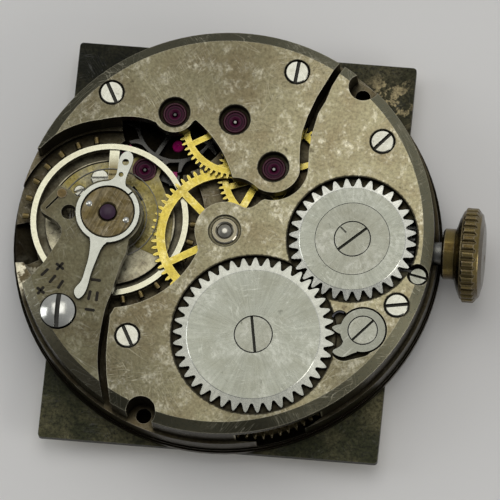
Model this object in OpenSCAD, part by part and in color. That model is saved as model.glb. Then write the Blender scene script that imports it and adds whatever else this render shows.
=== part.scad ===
// Round hand-wound lever watch movement on its rectangular dial, in millimetres.
// +Z points out of the bridges, +X runs along the stem to the crown, and the origin is on the
// centre wheel's axis at the face of the main plate that the dial lies on.

/* [Main plate and rim] */
// Radius of the stepped flange at the dial side
flange_r = 12.0; // [11.95:0.01:12.1]
// Thickness of the flange
flange_t = 0.5; // [0.4:0.01:0.55]
// Radius of the main plate above the flange
plate_r = 11.85; // [11.8:0.01:11.9]
// Radius of the bridges
rim_r = 11.65; // [11.6:0.01:11.7]
// Thickness of the main plate
plate_t = 1.55; // [1.5:0.01:1.58]
// Depth of the motion-work recess at the dial side
motion_recess = 0.4; // [0.39:0.01:0.42]
// Depth of the keyless-work recess at the dial side
keyless_recess = 0.55; // [0.54:0.01:0.6]

/* [Bridges] */
// Room between the plate and the underside of the bridges
bridge_gap = 1.05; // [1.04:0.01:1.1]
// Thickness of the bridges
bridge_t = 0.7; // [0.68:0.01:0.75]
// Width of the bevel round the bridges
bevel_w = 0.58; // [0.4:0.01:0.8]
// Depth of the bevel round the bridges
bevel_h = 0.34; // [0.2:0.01:0.45]
// Width of the gap between neighbouring bridges
bridge_split = 0.45; // [0.3:0.01:0.5]
// Radius of a flat bridge screw's head
screw_head_r = 0.64; // [0.5:0.01:0.68]
// Radius of a bridge screw's shank
screw_shank_r = 0.34; // [0.25:0.01:0.36]
// Radius of the domed cock screw's head
cock_head_r = 0.96; // [0.8:0.01:1]
// Radius of the threaded case-screw holes
case_hole_r = 0.42; // [0.35:0.01:0.5]
// Radius of the case-screw recesses
case_recess_r = 0.83; // [0.7:0.01:0.9]
// Distance of the case-screw holes from the centre
case_hole_d = 11.15; // [11.05:0.01:11.16]

/* [Dial] */
// Width of the dial, along the stem
dial_w = 19.0; // [18.5:0.1:20]
// Height of the dial, across the stem
dial_h = 23.1; // [22.5:0.1:24.5]
// Thickness of the dial
dial_t = 0.35; // [0.25:0.01:0.4]
// Radius of the dial's corners
dial_corner_r = 0.2; // [0.1:0.05:0.6]
// Radius of the dial's feet
foot_r = 0.35; // [0.3:0.01:0.4]

/* [Going train] */
// Teeth on the barrel
barrel_n = 72; // [70:1:74]
// Module of the barrel and the centre pinion
barrel_m = 0.149; // [0.147:0.0005:0.15]
// Leaves on the centre pinion
centre_pinion_n = 12; // [12:1:12]
// Module of the centre wheel and the third pinion
centre_m = 0.1267; // [0.126:0.0001:0.1275]
// Teeth on the centre wheel
centre_n = 64; // [63:1:65]
// Module of the third wheel and the fourth pinion
third_m = 0.1037; // [0.103:0.0001:0.1045]
// Teeth on the third wheel and on the fourth wheel
third_n = 60; // [60:1:60]
// Module of the fourth wheel and the escape pinion
fourth_m = 0.1032; // [0.1026:0.0001:0.1038]
// Thickness of the train wheels
wheel_t = 0.13; // [0.1:0.01:0.14]
// Radial clearance between an arbor and its bearing
pivot_gap = 0.02; // [0.015:0.001:0.03]

/* [Escapement and balance] */
// Radius of the escape wheel over its club teeth
escape_r = 2.85; // [2.8:0.01:2.88]
// Distance from the pallet arbor to the balance staff
lever_d = 3.59; // [3.56:0.01:3.62]
// Outer radius of the balance rim
balance_r = 4.42; // [4.3:0.01:4.45]
// Width of the balance rim
balance_rim_w = 0.32; // [0.22:0.01:0.35]
// Height of the balance rim
balance_rim_h = 0.4; // [0.36:0.01:0.42]
// Turns of the hairspring
hairspring_turns = 11; // [9:1:12]
// Outer radius of the regulator's ring
regulator_ring_r = 1.78; // [1.7:0.01:1.85]
// Thickness of the regulator
regulator_t = 0.2; // [0.15:0.01:0.25]

/* [Winding work] */
// Module of the ratchet wheel and the crown wheel
ratchet_m = 0.212; // [0.2115:0.0001:0.2125]
// Thickness of the ratchet wheel
ratchet_t = 0.35; // [0.3:0.01:0.38]
// Height of the stem's axis above the dial side of the plate
stem_z = 1.6; // [1.59:0.01:1.62]
// Radius of the stem's bearing in the plate
stem_r = 0.62; // [0.6:0.01:0.64]
// How far the crown pulls out to set the hands
pull = 0.54; // [0.45:0.01:0.56]
// Radius of the crown
crown_r = 2.63; // [2.3:0.01:2.8]
// Length of the crown without its neck
crown_l = 1.55; // [1.3:0.01:1.8]
// Flutes round the crown
crown_flutes = 33; // [24:1:36]

/* [Motion work] */
// Module of the cannon pinion and the minute wheel
motion_m = 0.12; // [0.119:0.001:0.121]
// Radius of the hour wheel's pipe
hour_pipe_r = 0.8; // [0.75:0.01:0.85]
// How far the hour wheel's pipe stands out of the dial
hour_pipe_out = 0.6; // [0.4:0.05:0.8]
// How far the cannon pinion stands out of the dial
cannon_out = 1.0; // [0.9:0.05:1.3]

/* [Hidden] */
$fn = 96;
e = 0.01;

// Levels of the bridges
bridge_z = plate_t + bridge_gap;
top_z = bridge_z + bridge_t;
sink_d = 0.45;

// Places of the train, each from the one before by its tooth counts and module
function polar(r, a) = [r * cos(a), r * sin(a)];
function dist(m, n1, n2) = m * (n1 + n2) / 2;
third_pinion_n = 8;
escape_pinion_n = 6;
barrel_a = -70.2;
third_a = 58.4;
fourth_a = 132.7;
escape_a = 176.5;
lever_a = -117.6;
centre_p = [0, 0];
barrel_p = polar(dist(barrel_m, barrel_n, centre_pinion_n), barrel_a);
third_p = polar(dist(centre_m, centre_n, third_pinion_n), third_a);
fourth_p = third_p + polar(dist(third_m, third_n, third_pinion_n), fourth_a);
escape_p = fourth_p + polar(dist(fourth_m, third_n, escape_pinion_n), escape_a);
pallet_d = escape_r / cos(30);
pallet_p = escape_p + polar(pallet_d, lever_a);
balance_p = pallet_p + polar(lever_d, lever_a);

// Rooms milled in the main plate under the train and the balance
centre_room_r = 1.15;
centre_room_z = 1.1;
roller_room_r = 1.15;
fork_way_w = 1.3;
fork_room_r = 2.15;
side_pocket_z = 0.75;

// Levels of the train
barrel_z = 0.65;
barrel_top = 2;
barrel_pocket_z = 0.58;
pocket_z = 0.65;
well_z = 1.15;
well_in_r = 3.62;
escape_z = 0.93;
fork_z = 0.9;
fork_t = 0.2;
third_z = plate_t + 0.2;
centre_z = barrel_top + 0.1;
fourth_z = centre_z + wheel_t + 0.15;
pallet_cock_t = 0.3;
pallet_cock_z = plate_t - 0.35;
balance_z = plate_t + 0.07;
spring_z = centre_z + wheel_t + 0.1;

// Toothed work of the barrel
barrel_drum_r = barrel_m * barrel_n / 2 - 0.25;
barrel_tip_r = barrel_m * (barrel_n / 2 + 1);
barrel_pocket_r = barrel_tip_r + 0.17;
barrel_wall = 0.35;
barrel_teeth_z = 1.45;
barrel_teeth_t = 0.4;
arbor_r = 0.6;
arbor_hub_r = 1.1;

// Winding wheels on top of the barrel bridge
ratchet_n = 41;
crown_wheel_n = 32;
ratchet_tip_r = ratchet_m * ratchet_n / 2 + 0.14;
crown_wheel_tip_r = ratchet_m * crown_wheel_n / 2 + 0.16;
tooth_h = 0.5;
crown_wheel_p = [barrel_p.x + sqrt(pow(dist(ratchet_m, ratchet_n, crown_wheel_n), 2)
    - pow(barrel_p.y, 2)), 0];
recess_gap = 0.09;
ratchet_z = top_z + 0.04 - ratchet_t;
crown_wheel_z = ratchet_z - 0.18;
crown_ring_z = crown_wheel_z + 0.24;
crown_root_r = crown_wheel_tip_r - tooth_h;
core_r = 2.07;
ratchet_screw_r = 1.09;
crown_screw_r = 1.04;
crown_shank_r = 0.45;

// Click, which turns on its own screw beside the ratchet wheel
click_p = [8.16, -5.23];
click_r = 1.25;
click_screw_r = 0.85;
click_t = 0.3;

// Regulator and end-piece on the balance cock
end_piece_r = 1.5;
cap_jewel_r = 0.44;
head_r = 1.95;
stud_p = balance_p + [-2.66, 0.96];
stud_r = 0.28;
curb_r = norm(stud_p - balance_p);
collet_r = 0.42;
spring_bore_r = collet_r + 0.05;
spring_w = 0.045;
balance_arm_a = 91;

// Keyless work
pinion_x0 = 9.65;
pinion_l = 0.95;
pinion_n = 12;
pinion_tip_r = 1.42;
pinion_r = 1.27;
breguet_n = 12;
sliding_x0 = 8.15;
sliding_l = 1.55;
sliding_r = 1.0;
groove_x = 8.9;
groove_w = 0.34;
stem_groove_x = 10.87;
stem_groove_w = 0.38;
lever_pin_r = 0.13;
square_w = 0.72;
pilot_r = 0.3;
pilot_x0 = 6.3;
lever_screw_p = [10.92, -1.8];
lever_screw_r = 0.3;
lever_pin_p = [stem_groove_x, 0];
lever_head_w = 0.42;
yoke_p = [8.6, 3.3];
keyless_z = 0.12;
keyless_t = 0.38;

// Motion work at the dial side
cannon_n = 12;
minute_n = 36;
minute_pinion_n = 10;
hour_n = 40;
setting_n = 20;
minute_d = dist(motion_m, cannon_n, minute_n);
hour_m = 2 * minute_d / (hour_n + minute_pinion_n);
setting_x = minute_d + dist(motion_m, minute_n, setting_n);
minute_z = 0.22;
minute_t = 0.12;
hour_z = 0.05;
post_r = 0.3;
cannon_r = 0.58;
pipe_taper = 0.06;
pin_taper = 0.03;
post_ps = [[minute_d, 0], [setting_x, 0], yoke_p];

// Stem's way out and the crown
crown_x0 = flange_r + 0.1;
crown_neck_r = 1.42;
crown_neck_l = 0.8;
crown_bore_r = 0.45;

// The dial lies a little turned and low on the plate, as in the photograph
dial_turn = -0.75;
dial_shift = [0, -0.25];
hand_hole_gap = 0.15;
seconds_hole_r = 0.3;
seconds_ring_r = 2.9;
seconds_ring_d = 0.08;

// Screws of the bridges, the case and the dial
train_screws = [[-7.0, 7.6], [3.24, 9.49]];
barrel_screws = [[8.33, 5.77], [-4.87, -6.43], [9.92, -3.65]];
bridge_slots = [-62, 84, 48, -62, 9];
cock_screw_p = [-8.86, -5.29];
pallet_screws = [[-7.38, 3.10], [-8.45, 2.28]];
pallet_screw_rs = [0.5, 0.33];
case_holes = [polar(case_hole_d, 51.8), polar(case_hole_d, -109.4)];
foot_ps = [polar(plate_r - 1.1, 108), polar(plate_r - 1.55, 225)];
foot_screw_r = 0.25;
foot_screw_z = 0.8;
head_t = 0.35;
shank_end = 0.75;
edge = 0.05;

// Centre wheel's bearing in the barrel bridge
bush_r = 0.75;
bush_bore_r = 0.42;

// Jewels: upper ones sit at the bottom of a sink, lower ones in the main plate
jewel_r = 0.56;
jewel_t = 0.25;
jewel_hole_r = 0.1;
train_pivot_r = jewel_hole_r - pivot_gap;
sink_r = 0.85;
upper_jewel_ps = [escape_p, fourth_p, third_p];
upper_jewel_z = top_z - sink_d - jewel_t;
lower_jewel_r = 0.45;
lower_jewel_ps = [escape_p, pallet_p, balance_p];
lower_jewel_z = pocket_z - jewel_t - 0.05;
upper_end = upper_jewel_z + jewel_t - 0.03;
seconds_r = 0.17;
escape_arbor_r = 0.15;

// Points along an arc, a bent edge and a smooth curve through given points
function arc(c, r, a0, a1, n = 12) = [for (i = [0:n]) c + polar(r, a0 + (a1 - a0) * i / n)];
function bend(p, q, s, n = 6) = [for (i = [0:n]) let (t = i / n)
    (1 - t) * (1 - t) * p + 2 * t * (1 - t) * q + t * t * s];
function curve(p, n = 4) = [for (i = [1:len(p) - 3], k = [0:n - 1]) let (t = k / n)
    0.5 * (2 * p[i] + (p[i + 1] - p[i - 1]) * t
    + (2 * p[i - 1] - 5 * p[i] + 4 * p[i + 1] - p[i + 2]) * t * t
    + (3 * p[i] - p[i - 1] - 3 * p[i + 1] + p[i + 2]) * t * t * t)];
function heading(p, q) = atan2(q.y - p.y, q.x - p.x);

// Outline of a toothed wheel: a tooth is rows of radius and width, the width in parts of the
// pitch, from the root to the tip, and one tooth points along the angle a
function teeth(n, rows, a = 0) = [for (i = [0:n - 1]) each concat(
    [for (r = rows) polar(r[0], a + 360 / n * (i - r[1] / 2))],
    [for (k = [len(rows) - 1:-1:0]) polar(rows[k][0], a + 360 / n * (i + rows[k][1] / 2))])];
function wheel_rows(m, n) = let (r = m * n / 2)
    [[r - 1.35 * m, 0.5], [r, 0.44], [r + 0.7 * m, 0.28], [r + 1.15 * m, 0.06]];
function pinion_rows(m, n) = let (r = m * n / 2)
    [[r - 1.4 * m, 0.42], [r, 0.34], [r + 0.55 * m, 0.24], [r + 0.8 * m, 0.08]];
function ratchet_rows(r) = [[r - tooth_h, 0.84], [r - tooth_h + 0.06, 0.7],
    [r - 0.15, 0.36], [r - 0.03, 0.17], [r, 0.06]];

// Small shapes that the pieces share
module at(p, z = 0) { translate([p.x, p.y, z]) children(); }
module disc(r, t, p = [0, 0], z = 0) { at(p, z) cylinder(r = r, h = t); }
module slab(t, z = 0) { translate([0, 0, z]) linear_extrude(t) children(); }
module bar(p, q, w) {
    translate(p) rotate(heading(p, q)) translate([0, -w / 2]) square([norm(q - p), w]);
}
// A round sink down from the height z, with its upper edge broken
module sink(r, depth, p, z) {
    disc(r, depth + 1, p, z - depth);
    at(p, z - edge) cylinder(r1 = r, r2 = r + 2 * edge, h = 2 * edge);
}
// A bar with round ends
module link(p, q, w) { bar(p, q, w); translate(p) circle(w / 2); translate(q) circle(w / 2); }

// A flat wheel with windows between its arms
module wheel(n, rows, t, rim_in, hub, arms, arm_w, bore, a = 0, arm_a = 0) {
    linear_extrude(t) difference() {
        polygon(teeth(n, rows, a));
        difference() {
            circle(rim_in);
            circle(hub);
            for (i = [0:arms - 1]) rotate(arm_a + i * 360 / arms)
                translate([0, -arm_w / 2]) square([rim_in + e, arm_w]);
        }
        circle(bore);
    }
}

// A slotted screw whose head ends at z = 0; its shank reaches down to z = -depth
module screw(r, t, shank_r, depth, slot_a, dome = 0, slot_w = 0.2, slot_d = 0.16) {
    difference() {
        union() {
            translate([0, 0, -t]) cylinder(r = r, h = t - (dome > 0 ? 0 : edge));
            if (dome == 0) translate([0, 0, -edge]) cylinder(r1 = r, r2 = r - edge, h = edge);
            if (dome > 0) rotate_extrude() intersection() {
                translate([0, dome - (r * r + dome * dome) / (2 * dome)])
                    circle((r * r + dome * dome) / (2 * dome));
                square([r, dome + e]);
            }
        }
        rotate(slot_a) translate([-r - 0.1, -slot_w / 2, dome - slot_d])
            cube([2 * r + 0.2, slot_w, slot_d + 0.1]);
    }
    translate([0, 0, -depth]) cylinder(r = shank_r, h = depth - t);
}

// An arbor as a stack of steps, each one a height where it starts and its radius
module arbor(p, steps, end) {
    for (i = [0:len(steps) - 1]) let (z0 = steps[i][0],
        z1 = i < len(steps) - 1 ? steps[i + 1][0] : end)
        disc(steps[i][1], z1 - z0, p, z0);
}

// A ring jewel with its oil cup on top
module jewel(p, z, r = jewel_r, hole = jewel_hole_r, cup = 0.28) {
    at(p, z) rotate_extrude() polygon([[hole, 0], [r - 0.04, 0], [r, 0.04], [r, jewel_t - 0.04],
        [r - 0.04, jewel_t], [cup, jewel_t], [hole, jewel_t - 0.12]]);
}

// Everything inside the rim, with the bevel round the top
module rim_blank(z0) {
    rotate_extrude($fn = 180) polygon([[0, z0], [rim_r, z0], [rim_r, top_z - bevel_h],
        [rim_r - bevel_w, top_z], [0, top_z]]);
}

// Outlines of the three bridges
balance_room = balance_r + 1.03;
lobe_r = 1.18;
third_lobe_r = 1.5;
function train_outline() = concat(
    [[5.35, 9.9], [6.5, 12.05], [-12, 12.05], [-12, 4.2]],
    arc(balance_p, balance_room, 139, 99),
    bend([-7.3, 6.02], [-5.55, 6.5], escape_p + polar(lobe_r, 214)),
    arc(escape_p, lobe_r, 220, 336),
    arc([-6.1, 0.98], 6.62, 53.6, 18.7),
    bend([0.3, 3.1], [0.95, 3.16], third_p + polar(third_lobe_r, 238)),
    arc(third_p, third_lobe_r, 244, 352),
    [[3.81, 4.4], [3.77, 5.2], [3.82, 6.0], [4.05, 6.94], [4.45, 8.08]]);
function barrel_outline() = concat(
    [[6.2, 11.0], [5.78, 9.89], [5.25, 8.79], [4.97, 7.89], [4.62, 7.16], [4.36, 5.92],
        [4.29, 4.9]],
    arc(third_p, third_lobe_r + bridge_split, -2, -100),
    bend([1.86, 1.86], [1.32, 1.2], [0.8, 1.48]),
    arc(centre_p, 1.68, 66, 204),
    arc(balance_p, balance_room + 0.07, -19, -81),
    [[-5.93, -5.3], [-5.97, -6.7], [-5.94, -7.7], [-5.81, -8.8], [-5.5, -10.3], [-5.1, -12],
        [12.4, -12], [12.4, 11]]);
function cock_outline() = concat(
    curve([[-5.6, -12], [-5.72, -11], [-5.94, -10.1], [-6.29, -8.7], [-6.42, -7.5], [-6.38, -6.3],
        [-6.23, -4.95], [-5.98, -4.02], [-5.8, -3.2], [-5.6, -2.3], [-5.3, -1.55], [-5, -0.9]]),
    arc(balance_p, head_r, -48, 135, 24),
    curve([[-7.6, 1.9], [-8.15, 1.36], [-8.62, 1.6], [-8.86, 1.8], [-9.3, 1.97]]),
    curve([[-9.3, 1.97], [-9.43, 1.97], [-9.6, 1.78], [-10.26, 0.88], [-10.36, 0.6], [-10.18, 0.32],
        [-9.6, 0.0], [-9.26, -0.24], [-9.08, -0.6], [-9.12, -1.0], [-9.38, -1.55], [-9.88, -2.48],
        [-10.3, -3.05], [-10.7, -3.5], [-11.2, -3.8], [-12.2, -4]]),
    [[-12.4, -4.1], [-12.4, -12]]);

// Room that the wheels take between the plate and the bridges
module wheel_room() {
    translate(barrel_p) circle(barrel_pocket_r);
    circle(centre_m * (centre_n / 2 + 1.15) + 0.17);
    translate(third_p) circle(third_m * (third_n / 2 + 1.15) + 0.14);
    translate(fourth_p) circle(fourth_m * (third_n / 2 + 1.15) + 0.14);
    translate(escape_p) circle(escape_r + 0.15);
    translate(balance_p) circle(balance_room - 0.12);
}

// Slots for the two pinions on the stem, and the stem's bearings
module winding_room() {
    translate([pinion_x0 - 0.05, -1.52, keyless_z])
        cube([pinion_l + 0.1, 3.04, stem_z + pinion_tip_r + 0.06 - keyless_z]);
    translate([sliding_x0 - 0.72, -1.1, keyless_z])
        cube([sliding_l + 0.75, 2.2, stem_z + sliding_r + 0.03 - keyless_z]);
    translate([pilot_x0 - 0.1, 0, stem_z]) rotate([0, 90, 0])
        cylinder(r = pilot_r + 0.03, h = 1.9);
    translate([pinion_x0, 0, stem_z]) rotate([0, 90, 0]) cylinder(r = stem_r + 0.03, h = 2.6);
}

// One bridge: its outline between the plate and the bevelled top, less the room underneath
module bridge(points) {
    difference() {
        intersection() {
            slab(top_z - plate_t + 1, plate_t) polygon(points);
            rim_blank(plate_t);
        }
        slab(bridge_gap + e, plate_t - e) wheel_room();
        children();
    }
}

module bridge_screw_holes(ps) {
    for (p = ps) {
        disc(screw_shank_r, top_z, p, 0);
        sink(screw_head_r + 0.04, head_t, p, top_z);
    }
}

module case_recesses(z) { for (p = case_holes) disc(case_recess_r, 9, p * 1.016, z); }

module main_plate() color([0.62, 0.58, 0.46]) difference() {
    union() {
        disc(flange_r, flange_t * 0.55, $fn = 180);
        disc(flange_r - 0.08, flange_t, $fn = 180);
        disc(plate_r, plate_t, $fn = 180);
    }
    // Pockets at the bridge side
    disc(barrel_pocket_r, 9, barrel_p, barrel_pocket_z);
    disc(centre_room_r, 9, centre_p, centre_room_z);
    slab(9, well_z) difference() {
        translate(balance_p) circle(balance_room - 0.12);
        translate(balance_p) circle(well_in_r);
    }
    slab(9, pocket_z) {
        translate(escape_p) circle(escape_r + 0.2);
        translate(pallet_p) circle(fork_room_r);
        bar(pallet_p, balance_p, fork_way_w);
        translate(balance_p) circle(roller_room_r);
    }
    slab(9, pallet_cock_z) pallet_cock_shape(0.05);
    slab(9, side_pocket_z) side_pocket_shape();
    // Recesses at the dial side
    difference() {
        union() {
            disc(hour_m * (hour_n / 2 + 1.15) + 0.15, 1 + motion_recess, z = -1);
            for (w = [[minute_n, minute_d], [setting_n, setting_x]])
                disc(motion_m * (w[0] / 2 + 1.15) + 0.13, 1 + motion_recess, [w[1], 0], -1);
            slab(keyless_recess + 1, -1) keyless_room();
        }
        for (p = post_ps) disc(post_r, 1, p);
    }
    winding_room();
    translate([stem_groove_x - lever_pin_r - 0.07, -0.35, keyless_recess - e])
        cube([pull + 2 * lever_pin_r + 0.12, 0.6, stem_z - keyless_recess]);
    // Bearings, jewel seats and screw holes
    disc(0.42, 9, centre_p, -1);
    disc(arbor_r + pivot_gap, 9, barrel_p, -1);
    for (p = lower_jewel_ps) disc(lower_jewel_r, 9, p, -1);
    for (p = [third_p, fourth_p]) disc(lower_jewel_r, 9, p, -1);
    for (p = concat(train_screws, barrel_screws)) disc(screw_shank_r, 9, p, shank_end);
    disc(0.45, 9, cock_screw_p, shank_end);
    disc(lever_screw_r + pivot_gap, 9, lever_screw_p, -1);
    for (i = [0, 1]) disc(pallet_screw_rs[i] * 0.5, 9, pallet_screws[i], 0.5);
    for (p = case_holes) disc(case_hole_r, 9, p, 0.45);
    for (p = foot_ps) {
        disc(foot_r + 0.02, 2.1, p, -1);
        at(p) rotate(heading([0, 0], p)) translate([0, 0, foot_screw_z]) rotate([0, 90, 0])
            cylinder(r = foot_screw_r, h = 3);
    }
}

// The deep pocket that opens at the rim, beside the balance
module side_pocket_shape() polygon([[-12.3, 0.05], [-11.2, 0.36], [-11.02, 0.26],
    [-10.77, -0.77], [-10.4, -1.78], [-10.93, -2.06], [-12.3, -2.2]]);

// The keyless work's recess at the dial side
module keyless_room() {
    polygon(curve([[6.9, 4.6], [7.6, 4.75], [8.7, 4.6], [9.7, 4.1], [10.2, 2.6], [10.8, 0.9],
        [rim_r - 0.2, 0.45], [rim_r + 0.03, 0], [rim_r + 0.01, -0.5], [rim_r - 0.09, -1.5],
        [rim_r - 0.25, -2.3], [10.6, -2.7],
        [9.7, -2.4], [8.9, -1.9], [7.9, -1.7], [7.45, -0.6], [7.6, 1.4], [7.3, 2.6], [6.7, 3.6],
        [6.9, 4.6], [7.6, 4.75], [8.7, 4.6]]));
}

module dial() color([0.35, 0.36, 0.27]) {
    difference() {
        slab(dial_t, -dial_t) difference() {
            translate(dial_shift) rotate(dial_turn) {
                square([dial_w - 2 * dial_corner_r, dial_h], center = true);
                square([dial_w, dial_h - 2 * dial_corner_r], center = true);
                for (x = [-1, 1], y = [-1, 1]) translate([x * (dial_w / 2 - dial_corner_r),
                    y * (dial_h / 2 - dial_corner_r)]) circle(dial_corner_r);
            }
            circle(hour_pipe_r + hand_hole_gap);
            translate(fourth_p) circle(seconds_hole_r);
        }
        // Sunk seconds ring on the front
        disc(seconds_ring_r, seconds_ring_d + 1, fourth_p, -dial_t - 1);
    }
    for (p = foot_ps) disc(foot_r, 1, p, -e);
}

module dial_screws() color([0.6, 0.6, 0.58])
    for (p = foot_ps) at(p) rotate(heading([0, 0], p)) translate([0.37, 0, foot_screw_z])
        rotate([0, 90, 0]) difference() {
            cylinder(r = foot_screw_r, h = plate_r - norm(p) - 0.45);
            translate([-0.3, -0.06, plate_r - norm(p) - 0.6]) cube([0.6, 0.12, 1]);
        }

module barrel_bridge() color([0.66, 0.63, 0.54]) bridge(barrel_outline()) {
    disc(ratchet_tip_r + recess_gap, 9, barrel_p, ratchet_z - 0.03);
    disc(crown_wheel_tip_r + recess_gap, 9, crown_wheel_p, crown_wheel_z - 0.03);
    click_recess();
    disc(1, 9, barrel_p, plate_t);
    disc(bush_r, 9, centre_p, bridge_z - e);
    sink(bush_r + 0.14, 0.12, centre_p, top_z);
    bridge_screw_holes(barrel_screws);
    disc(0.35, 9, click_p, 1.7);
    disc(crown_shank_r, 9, crown_wheel_p, 2.1);
    disc(0.6, 9, lever_screw_p, bridge_z);
    disc(lever_screw_r + pivot_gap, 9, lever_screw_p, plate_t - e);
    case_recesses(plate_t - e);
    winding_room();
}

// The milled room in which the click rocks
module click_recess() slab(9, top_z - click_t - 0.03) {
    translate(click_p) circle(click_r + 0.1);
    translate([6.83, -4.62]) circle(0.46);
    link([6.85, -4.7], [6.97, -6.0], 0.8);
    link([7.2, -6.34], [8.1, -6.05], 1.46);
}

module train_bridge() color([0.66, 0.63, 0.54]) bridge(train_outline()) {
    for (p = upper_jewel_ps) {
        sink(sink_r, sink_d, p, top_z);
        disc(jewel_r, 9, p, bridge_z - e);
    }
    bridge_screw_holes(train_screws);
    case_recesses(plate_t - e);
}

module balance_cock() color([0.5, 0.48, 0.4]) bridge(cock_outline()) {
    disc(0.45, 9, cock_screw_p, plate_t - e);
    sink(cock_head_r + 0.04, 0.25, cock_screw_p, top_z);
    disc(0.4, 9, balance_p, plate_t);
    disc(0.65, 9, balance_p, bridge_z + 0.3);
    // Split arm of the stud, and the hole beside it
    disc(stud_r, 9, stud_p, bridge_z - e);
    slab(9, bridge_z - e) bar(stud_p, [-10.05, 0.6], 0.09);
    disc(0.42, 9, balance_p + [-2.18, -0.1], bridge_z - e);
}

// The pallet cock's outline, grown by g where the plate leaves room for it
module pallet_cock_shape(g = 0) polygon(concat(
    arc(balance_p, 3.5 + g, 147, 94),
    arc(pallet_p, 0.9 + g, 152, -24),
    curve([[-4.1, 3.4], [-3.95, 3.1], [-3.6, 2.4], [-3.26, 1.72], [-3.1, 1.1], [-3.08, 0.5],
        [-3.12, -0.3], [-3.26, -0.95], [-3.5, -1.2], [-3.8, -1.22], [-4.5, -0.98], [-5.2, -0.7],
        [-5.5, -0.5]]),
    arc(balance_p, 1.72 - g, -38, 118),
    bend([-7.6, 2.0], [-8.3, 1.3], [-9.35, 1.85])));

module pallet_cock() color([0.62, 0.55, 0.3]) difference() {
    slab(pallet_cock_t, pallet_cock_z) difference() {
        pallet_cock_shape();
        bar([-5.52, 2.72], [-4.93, 1.96], 0.22);
    }
    disc(jewel_r, 9, pallet_p, 0);
    for (i = [0, 1]) disc(pallet_screw_rs[i] * 0.5, 9, pallet_screws[i], 0);
}

module bridge_screws() color([0.8, 0.8, 0.78]) {
    ps = concat(train_screws, barrel_screws);
    for (i = [0:len(ps) - 1]) at(ps[i], top_z + 0.02)
        screw(screw_head_r, head_t + 0.02, screw_shank_r, top_z + 0.02 - shank_end,
            bridge_slots[i]);
}

module cock_screw() color([0.85, 0.85, 0.84]) at(cock_screw_p, top_z + 0.1)
    screw(cock_head_r, 0.35, 0.45, top_z + 0.1 - shank_end, 90, dome = 0.3, slot_w = 0.26,
        slot_d = 0.34);

module pallet_cock_screws() color([0.85, 0.84, 0.8])
    for (i = [0, 1]) at(pallet_screws[i], pallet_cock_z + pallet_cock_t + [0.1, 0.06][i])
        screw(pallet_screw_rs[i], [0.1, 0.06][i], pallet_screw_rs[i] * 0.5, 1, [4, 22][i],
            slot_w = 0.12, slot_d = 0.08);

module setting_lever_screw() color([0.75, 0.75, 0.73]) at(lever_screw_p, bridge_z + 0.3)
    screw(0.49, 0.3, lever_screw_r, bridge_z + 0.3 - keyless_z, -12, slot_w = 0.14);

module train_jewels() color([0.4, 0.2, 0.36]) {
    for (p = upper_jewel_ps) jewel(p, upper_jewel_z);
    jewel(pallet_p, pallet_cock_z + pallet_cock_t - jewel_t);
}

module lower_jewels() color([0.5, 0.15, 0.3]) {
    for (p = lower_jewel_ps) jewel(p, lower_jewel_z, lower_jewel_r, cup = 0.2);
    jewel(third_p, plate_t - jewel_t - 0.1, lower_jewel_r, cup = 0.2);
    jewel(fourth_p, plate_t - jewel_t - 0.1, lower_jewel_r, hole = 0.2, cup = 0.3);
    disc(lower_jewel_r, 0.18, balance_p, lower_jewel_z - 0.2);
}

module balance_jewels() color([0.5, 0.15, 0.3])
    jewel(balance_p, bridge_z + 0.3, 0.65, cup = 0.3);

module cap_jewel() color([0.3, 0.17, 0.35]) at(balance_p, top_z) {
    cylinder(r = cap_jewel_r, h = regulator_t);
    translate([0, 0, regulator_t]) rotate_extrude() intersection() {
        translate([0, -0.92]) circle(1.02);
        square([cap_jewel_r, 0.2]);
    }
}

module centre_bush() color([0.8, 0.78, 0.7]) at(centre_p) rotate_extrude()
    polygon([[bush_bore_r, bridge_z], [bush_r, bridge_z], [bush_r, top_z - 0.04],
        [bush_r - 0.06, top_z + 0.02], [bush_bore_r + 0.1, top_z + 0.02],
        [bush_bore_r, top_z - 0.1]]);

end_pins = [for (s = [-1, 1]) balance_p + polar(1.14 * s, -21)];

module end_piece() color([0.42, 0.35, 0.2]) at(balance_p, top_z) difference() {
    rotate_extrude() polygon([[cap_jewel_r, 0], [end_piece_r, 0], [end_piece_r, 0.15],
        [end_piece_r - 0.08, regulator_t], [0.58, regulator_t], [cap_jewel_r, regulator_t - 0.1]]);
    for (p = end_pins) disc(0.17, 1, p - balance_p, -e);
}

module end_piece_screws() color([0.88, 0.87, 0.85]) for (p = end_pins) at(p, top_z) {
    cylinder(r = 0.17, h = regulator_t);
    translate([0, 0, regulator_t]) rotate_extrude() intersection() {
        translate([0, -0.19]) circle(0.255);
        square([0.17, 0.1]);
    }
}

module hairspring_stud() color([0.72, 0.68, 0.5]) at(stud_p, spring_z + 0.15) {
    cylinder(r = stud_r, h = top_z + 0.03 - spring_z - 0.15);
    translate([-0.12, -0.09, -0.24]) cube([0.24, 0.18, 0.24]);
}

// Radius and angle along a flat spiral, and a strip of the width w that follows such points, as
// one outline that runs out along one side and back along the other
function spiral(r0, r1, turns, end_a) = let (n = round(turns * 28))
    [for (i = [0:n]) [r0 + (r1 - r0) * i / n, end_a - 360 * turns * (1 - i / n)]];
function strip(rows, w) = concat([for (q = rows) polar(q[0] + w / 2, q[1])],
    [for (i = [len(rows) - 1:-1:0]) polar(rows[i][0] - w / 2, rows[i][1])]);

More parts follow.
